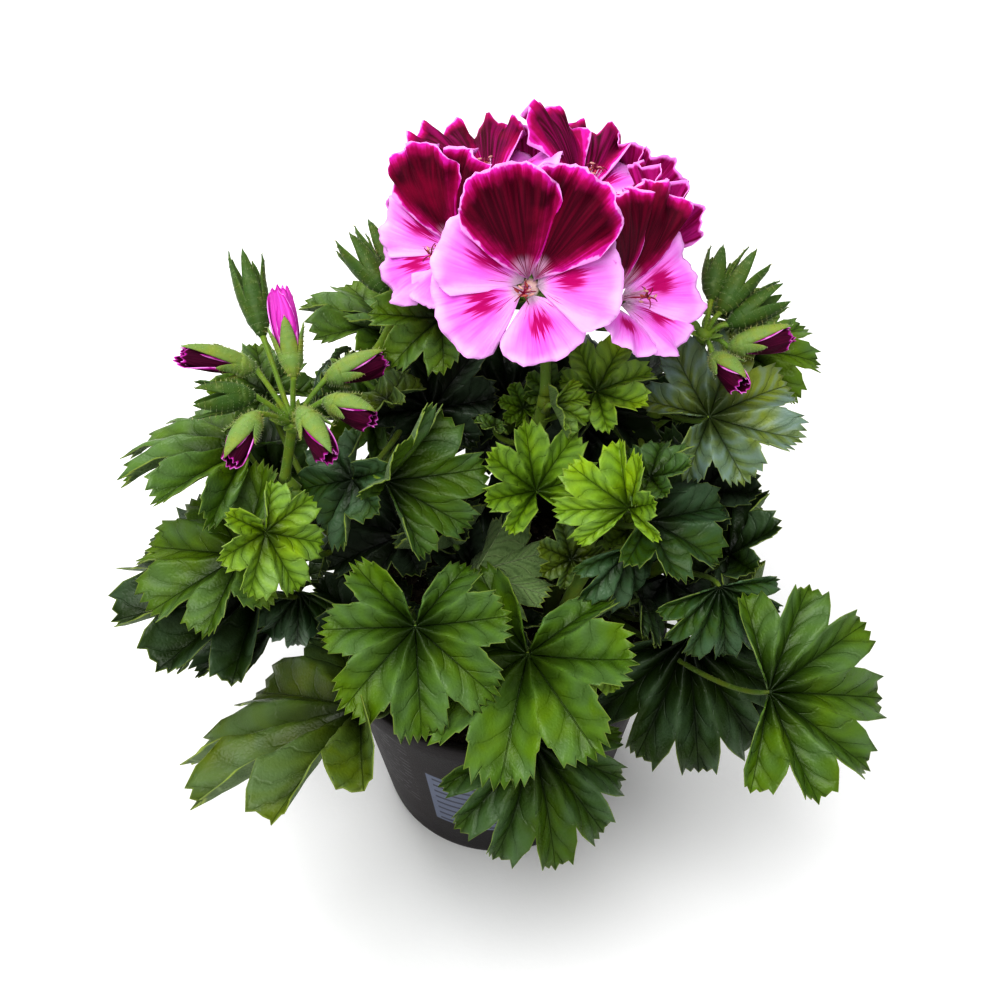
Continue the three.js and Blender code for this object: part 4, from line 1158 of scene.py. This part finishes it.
def add_centre(piece, bloom):
    """Stamens that lean towards the lower petals, and the parted stigma over them."""
    base = bloom["throat"] - (THROAT - 1.5) * bloom["axis"]
    axes = np.array([bloom["side"], bloom["axis"], -bloom["up"]])

    def curve(points, count):
        return bezier(*[placed(point, base, axes) for point in points], count)

    for k in range(STAMENS):
        a = 2 * math.pi * k / STAMENS + bloom["phase"]
        cos, sin = math.cos(a), math.sin(a)
        spread = 1.6 + 0.5 * math.sin(3 * a)
        end = [spread * cos * 1.3, 12.0 + 1.5 * math.sin(2 * a), 2.0 + spread * sin]
        path = curve([[0.5 * cos, 0, 0.5 * sin], [0.7 * cos, 5, 0.7 * sin],
                      [end[0] * 0.8, 9, end[2] * 0.5], end], 9)
        add_tube(piece, path, 0.24, 6, FILAMENT_TONE, CENTRE)
        across = unit(np.cross(bloom["axis"], path[-1] - path[-3] + 0.1))
        anther = path[-1] + np.outer(np.linspace(-0.9, 0.9, 5), across)
        add_tube(piece, anther, [0.2, 0.36, 0.4, 0.36, 0.2], 6, ANTHER_TONES[k % 2], CENTRE)
    style = curve([[0, 0, 0], [0, 5, 0.5], [0, 9, 1.5], [0, 12, 2.6]], 9)
    add_tube(piece, style, 0.34, 6, STYLE_TONE, CENTRE)
    for k in range(STIGMA_PARTS):
        a = 2 * math.pi * (k + 0.5) / STIGMA_PARTS + bloom["phase"]
        branch = curve([[out * math.cos(a), up, 2.6 + out * math.sin(a)]
                        for out, up in ((0, 12), (1.2, 13.2), (2.6, 13.6), (3.8, 12.4))], 8)
        add_tube(piece, branch, np.linspace(0.26, 0.14, 8), 6, STIGMA_TONE, CENTRE)


def add_branch(piece, start, end, rise, radius):
    path = through([start, (start + end) / 2 + [0, 0, rise], end], 12)
    add_tube(piece, path, radius * (1 + 0.25 * np.linspace(-1, 1, 12) ** 4), 8, STALK_TONE)
    hairs_along(piece, path, radius, BRANCH_HAIRS)


def add_umbel(piece, stem, joint, feet):
    """A flower stalk, the knob at its end with its ring of bracts, and its branches."""
    middle = np.array(joint, float)
    add_branch(piece, np.array(STEMS[stem]["top"], float), middle, 0, PEDUNCLE_RADIUS)
    knob, faces = turned([[0, -3.2], [1.8, -2.9], [2.9, -1.2], [3.1, 0.4], [2.4, 1.9],
                          [0, 2.6]], 12)
    piece.add(knob + middle, faces, None, STALK_TONE, STALK)
    for foot in feet:
        along = unit(foot - middle)
        add_branch(piece, middle + along * 0.6 * KNOB, foot, 1, PEDICEL_RADIUS)
    for k in range(BRACTS):
        a = 2 * math.pi * k / BRACTS + 0.3
        axes = axes_along([math.cos(a), math.sin(a), 0.5], [0, 0, 1])
        add_scale(piece, middle + 2.4 * axes[1] - [0, 0, 0.8], axes, BRACT)


def add_calyx(piece, bloom):
    """The green cup under a bloom, pale inside, with five sepals that stand away."""
    axes = np.array([-bloom["side"], bloom["up"], bloom["axis"]])
    foot = bloom["throat"] - (THROAT + 0.8 + GAP) * bloom["axis"]
    points, faces = turned([[0, -SEPAL_DEPTH], [1.1, -SEPAL_DEPTH + 0.4], [1.5, -5], [2.6, -2.2],
                            [3.4, -0.4], [2.6, 0], [0, 0]], 12)
    tint = np.where(points[:, 2:] > -0.1, THROAT_TONE, CALYX_TONE)
    piece.add(placed(points, foot, axes), faces, None, tint, STALK)
    for k in range(SEPALS):
        a = 2 * math.pi * (k + 0.5) / SEPALS
        out = math.cos(a) * axes[0] + math.sin(a) * axes[1]
        sepal = axes_along(out * 0.9 + axes[2] * 0.25, axes[2])
        add_scale(piece, foot + 2.4 * out - 1.6 * bloom["axis"], sepal, SEPAL)


blooms = [bloom_from(*row) for row in BLOOMS]
head = greens[HEAD["stem"]]
for number, bloom in enumerate(blooms, 1):
    dark = Piece(f"petals_dark_{number}", f"bloom_{number}_upper", "dark_petal", DARK)
    pale = Piece(f"petals_pale_{number}", f"bloom_{number}_lower", "pale_petal", PALE)
    add_petals(dark, bloom, "upper", FRONT_TONE if number <= FRONT_BLOOMS else BACK_TONE)
    add_petals(pale, bloom, "lower", (1, 1, 1))
    add_centre(pale, bloom)
    dark.make()
    pale.make()
    add_calyx(head, bloom)
add_umbel(head, HEAD["stem"], HEAD["joint"],
          [bloom["throat"] - (THROAT + 7) * bloom["axis"] for bloom in blooms])


# Buds


def wrapped_sepal(piece, foot, axes, length, turn, reach, width, lift, tint):
    """A sepal that hugs a bud: it follows the bud's round and comes free near its tip."""
    s, a = lattice(np.linspace(0.03, 1, 12), np.linspace(-1, 1, 9))
    swell = np.sin(math.pi * np.clip(s * reach * 0.78 + 0.03, 0, 1)) ** 0.62
    radius = ((BUD_RADIUS + 0.75) * swell + lift * smoothstep(0.55, 1.0, s) ** 2
              + 0.25 * (1 - a ** 2))
    broad = width * np.clip(1.25 * (1 - s) ** 0.75, 0.02, 1) * smoothstep(-0.35, 0.12, s)
    angle = turn + a * broad
    grid = laid(radius * np.sin(angle), s * length * reach, radius * np.cos(angle), foot, axes)
    out = math.sin(turn) * axes[0] + math.cos(turn) * axes[2]
    points = add_blade(piece, foot - 0.2 * axes[1], grid, SEPAL_BLADE, out, tint,
                       (STALK, STALK))
    upper = len(points) // 2
    chosen = points[rng.choice(np.arange(1, upper), SEPAL_HAIRS["count"], replace=False)]
    outs = chosen - (foot + axes[1] * length * 0.4)
    outs -= np.outer(outs @ axes[1], axes[1]) * 0.7
    hairs_on(piece, chosen, outs, SEPAL_HAIRS)


def add_bud_green(piece, foot, tip, shows, pink):
    """A bud's cup and its sepals: parted round the petals, or five that close over them."""
    axes, length = frame_along(foot, tip, 0), math.dist(foot, tip)
    tint = BUD_TONES[shows]
    r = BUD_RADIUS
    cup, faces = turned([[0, -0.6], [1.2, -0.5], [0.55 * r, 0.06 * length],
                         [0.9 * r, 0.16 * length], [0.96 * r, 0.22 * length],
                         [0.7 * r, 0.24 * length], [0, 0.2 * length]], 14)
    piece.add(placed(cup[:, [0, 2, 1]] * [1, 1, -1], foot, axes), faces, None, tint, STALK)
    if shows == "open":
        rows = [(0.0, 0.62 if pink else 1.0, 0.9, 0.5)]
        for turn, reach, width, lift in ((1.2, 0.55, 0.6, 0.9), (2.6, 0.34, 0.45, 0.5)):
            rows += [(turn, reach, width, lift), (-turn, reach, width, lift)]
    else:
        rows = [(k * 2 * math.pi / SEPALS, 0.94 + 0.06 * math.sin(5 * k), 0.82,
                 0.7 + 1.2 * (k % 2)) for k in range(SEPALS)]
    for turn, reach, width, lift in rows:
        wrapped_sepal(piece, foot, axes, length, turn, reach, width, lift, tint)


def add_bud_petals(piece, foot, tip, pink):
    """Three petals rolled round each other; their free margins stand away a little."""
    axes, length = frame_along(foot, tip, 0), math.dist(foot, tip)
    for k in range(3):
        s, a = lattice(np.linspace(0.06, 1, 16), np.linspace(-1, 1, 21))
        swell = np.sin(math.pi * np.clip(0.10 + 0.72 * s, 0, 1)) ** 0.55
        radius = (3.5 + 0.28 * k) * swell * (1.0 if pink else 0.92)
        free = smoothstep(0.45, 1, a)
        radius = radius + free * (0.5 + 1.3 * s) + 0.25 * np.sin(9 * a + 4 * s + k) * s ** 2
        middle = math.pi + 2.1 * k
        angle = middle + a * 1.9 * (1 - 0.35 * s ** 3)
        reach = (1.0 - 0.10 * a ** 2 + 0.03 * np.sin(11 * a + k)) * (1.04 if k == 0 else 0.97)
        height = length * (0.16 + 0.84 * s * reach)
        grid = laid(radius * np.sin(angle), height, radius * np.cos(angle), foot, axes)
        out = math.sin(middle) * axes[0] + math.cos(middle) * axes[2]
        add_blade(piece, foot + axes[1] * length * 0.17 + out * 0.6, grid, PETAL_BLADE, out,
                  PINK_TONE if pink else PLUM_TONE, (PETAL_FACE, PETAL_FACE), (a, s, k + 3.0))


for name, cluster in CLUSTERS.items():
    green = greens[cluster["stem"]]
    feet = []
    for number, (foot, tip, shows) in enumerate(cluster["buds"], 1):
        foot, tip = np.array(foot, float), np.array(tip, float)
        pink = (name, number) == PINK_BUD
        add_bud_green(green, foot, tip, shows, pink)
        feet.append(foot)
        if shows == "open":
            petals = Piece(f"bud_{name}_{number}", f"bud_petals_{name}_{number}", "bud_petal", BUD)
            add_bud_petals(petals, foot, tip, pink)
            petals.make()
    add_umbel(green, cluster["stem"], cluster["joint"], feet)

for piece in greens.values():
    piece.make()


# Pot and soil


def outside_at(z):
    """The outer radius of the pot's wall."""
    neck = POT["rim"] - POT["lip_out"]
    return POT["base"] + (neck - POT["base"]) * z / POT["height"]


def add_pot():
    height, rim, base, wall = POT["height"], POT["rim"], POT["base"], POT["wall"]
    neck, inside = rim - POT["lip_out"], POT["floor"]
    foot = [[0, 1.2], [base - 5, 1.2], [base - 4, 0.6], [base - 3, 0.0], [base - 1, 0.0],
            [base - 0.3, 0.3], [base, 1.0]]
    outer = [[outside_at(z), z] for z in np.linspace(4, LIP_FOOT - 1.2, 14)]
    lip = [[outside_at(LIP_FOOT), LIP_FOOT - 0.6], [rim - 0.5, LIP_FOOT - 0.2],
           [rim, LIP_FOOT + 0.5], [rim, LIP_FOOT + 3], [rim + 0.15, LIP_FOOT + 5],
           [rim, height - 1.2], [rim - 0.3, height - 0.4], [rim - 0.9, height],
           [neck - 0.6, height], [neck - wall, height - 0.5]]
    inner = [[outside_at(z) - wall, z] for z in np.linspace(LIP_FOOT - 2, inside + 2, 8)]
    bottom = [[base - wall - 1.5, inside + 0.4], [base - wall - 3, inside + 0.3],
              [0, inside + 0.3]]
    piece = Piece("pot_shell", "pot", "pot", [pot_plastic()])
    piece.add(*turned(foot + outer + lip + inner + bottom, 144))
    shell = piece.make()
    for k in range(DRAINS):
        cut_drain(shell, 2 * math.pi * (k + 0.5) / DRAINS)
    shell.data.name = "pot_shell"


def cut_drain(shell, a):
    """Cuts a round drain hole through the pot's floor, at an angle about its axis."""
    out = 0.72 * POT["base"]
    bpy.ops.mesh.primitive_cylinder_add(
        vertices=32, radius=4 * MM, depth=12 * MM,
        location=(out * math.cos(a) * MM, out * math.sin(a) * MM, 0))
    cutter = bpy.context.object
    modifier = shell.modifiers.new("drain", "BOOLEAN")
    modifier.operation, modifier.object = "DIFFERENCE", cutter
    bpy.context.view_layer.update()
    cut = bpy.data.meshes.new_from_object(
        shell.evaluated_get(bpy.context.evaluated_depsgraph_get()))
    shell.modifiers.clear()
    shell.data = cut
    bpy.data.objects.remove(cutter)


def add_soil():
    def wall_at(z):
        return outside_at(z) - wall - 2 * GAP

    base, wall, bottom = POT["base"], POT["wall"], POT["floor"] + 0.6
    edge = SOIL["top"] - SOIL["mound"]
    reach = wall_at(edge)
    profile = [[0, bottom], [base - wall - 4, bottom], [wall_at(4), 4],
               [wall_at(LIP_FOOT - 3), LIP_FOOT - 3], [reach, edge]]
    profile += [[share * reach, edge + SOIL["mound"] * smoothstep(1, 0.75, share)]
                for share in np.linspace(0.97, 0.03, 26)]
    points, faces = turned(profile + [[0, SOIL["top"]]], 96)
    top = points[:, 2] > edge - 0.1
    x, y = points[top, 0], points[top, 1]
    lumps = np.sin(0.31 * x + 1) * np.cos(0.27 * y) + 0.6 * np.sin(0.6 * x - 0.5 * y)
    crumbs = 0.5 * np.sin(1.9 * x + 0.7 * y) * np.cos(1.7 * y - 0.5 * x)
    points[top, 2] += 0.9 * lumps + crumbs + rng.normal(0, 0.35, top.sum())
    piece = Piece("soil_bed", "soil", "soil", [soil_crumb()])
    piece.add(points, faces)
    for _ in range(CRUMBS):
        distance = math.sqrt(rng.uniform()) * (reach - 2.5)
        a = rng.uniform(0, 2 * math.pi)
        size = rng.uniform(0.5, 1.7) * rng.uniform(0.6, 1.2, 3)
        at = [distance * math.cos(a), distance * math.sin(a), SOIL["top"] + rng.uniform(-0.6, 0.9)]
        rough = 1 + 0.18 * rng.normal(0, 1, (len(CRUMB), 1))
        piece.add(CRUMB * size * rough + at, CRUMB_SIDES, flat=True)
    piece.make()


add_pot()
add_soil()


# Floor, light and camera

scene = bpy.context.scene
scene.view_settings.view_transform = "Standard"
scene.view_settings.look = "Medium High Contrast"
scene.view_settings.gamma = GAMMA
scene.view_settings.exposure = EXPOSURE

bpy.ops.mesh.primitive_plane_add(size=8, location=(0, 0, 0))
floor = bpy.context.object
floor.name = "floor"
floor.data.materials.append(floor_white())

world = bpy.data.worlds.new("studio")
scene.world = world
world.use_nodes = True
background = world.node_tree.nodes["Background"]
background.inputs["Color"].default_value = (1, 1, 1, 1)
background.inputs["Strength"].default_value = WORLD_STRENGTH


def add_light(name, at, size, power):
    data = bpy.data.lights.new(name, "AREA")
    data.shape, data.size, data.energy = "DISK", size, power
    light = bpy.data.objects.new(name, data)
    light.location = at
    light.rotation_euler = (LIT - Vector(at)).to_track_quat("-Z", "Y").to_euler()
    scene.collection.objects.link(light)


for row in LIGHTS:
    add_light(*row)

camera = bpy.data.objects.new("camera", bpy.data.cameras.new("camera"))
camera.data.lens, camera.data.sensor_width = LENS, SENSOR
camera.data.clip_start, camera.data.clip_end = 0.01, 50
camera.location = TARGET + DISTANCE * Vector((0, -math.cos(VIEW_TILT), math.sin(VIEW_TILT)))
camera.rotation_euler = (math.pi / 2 - VIEW_TILT, 0, 0)
scene.collection.objects.link(camera)
scene.camera = camera
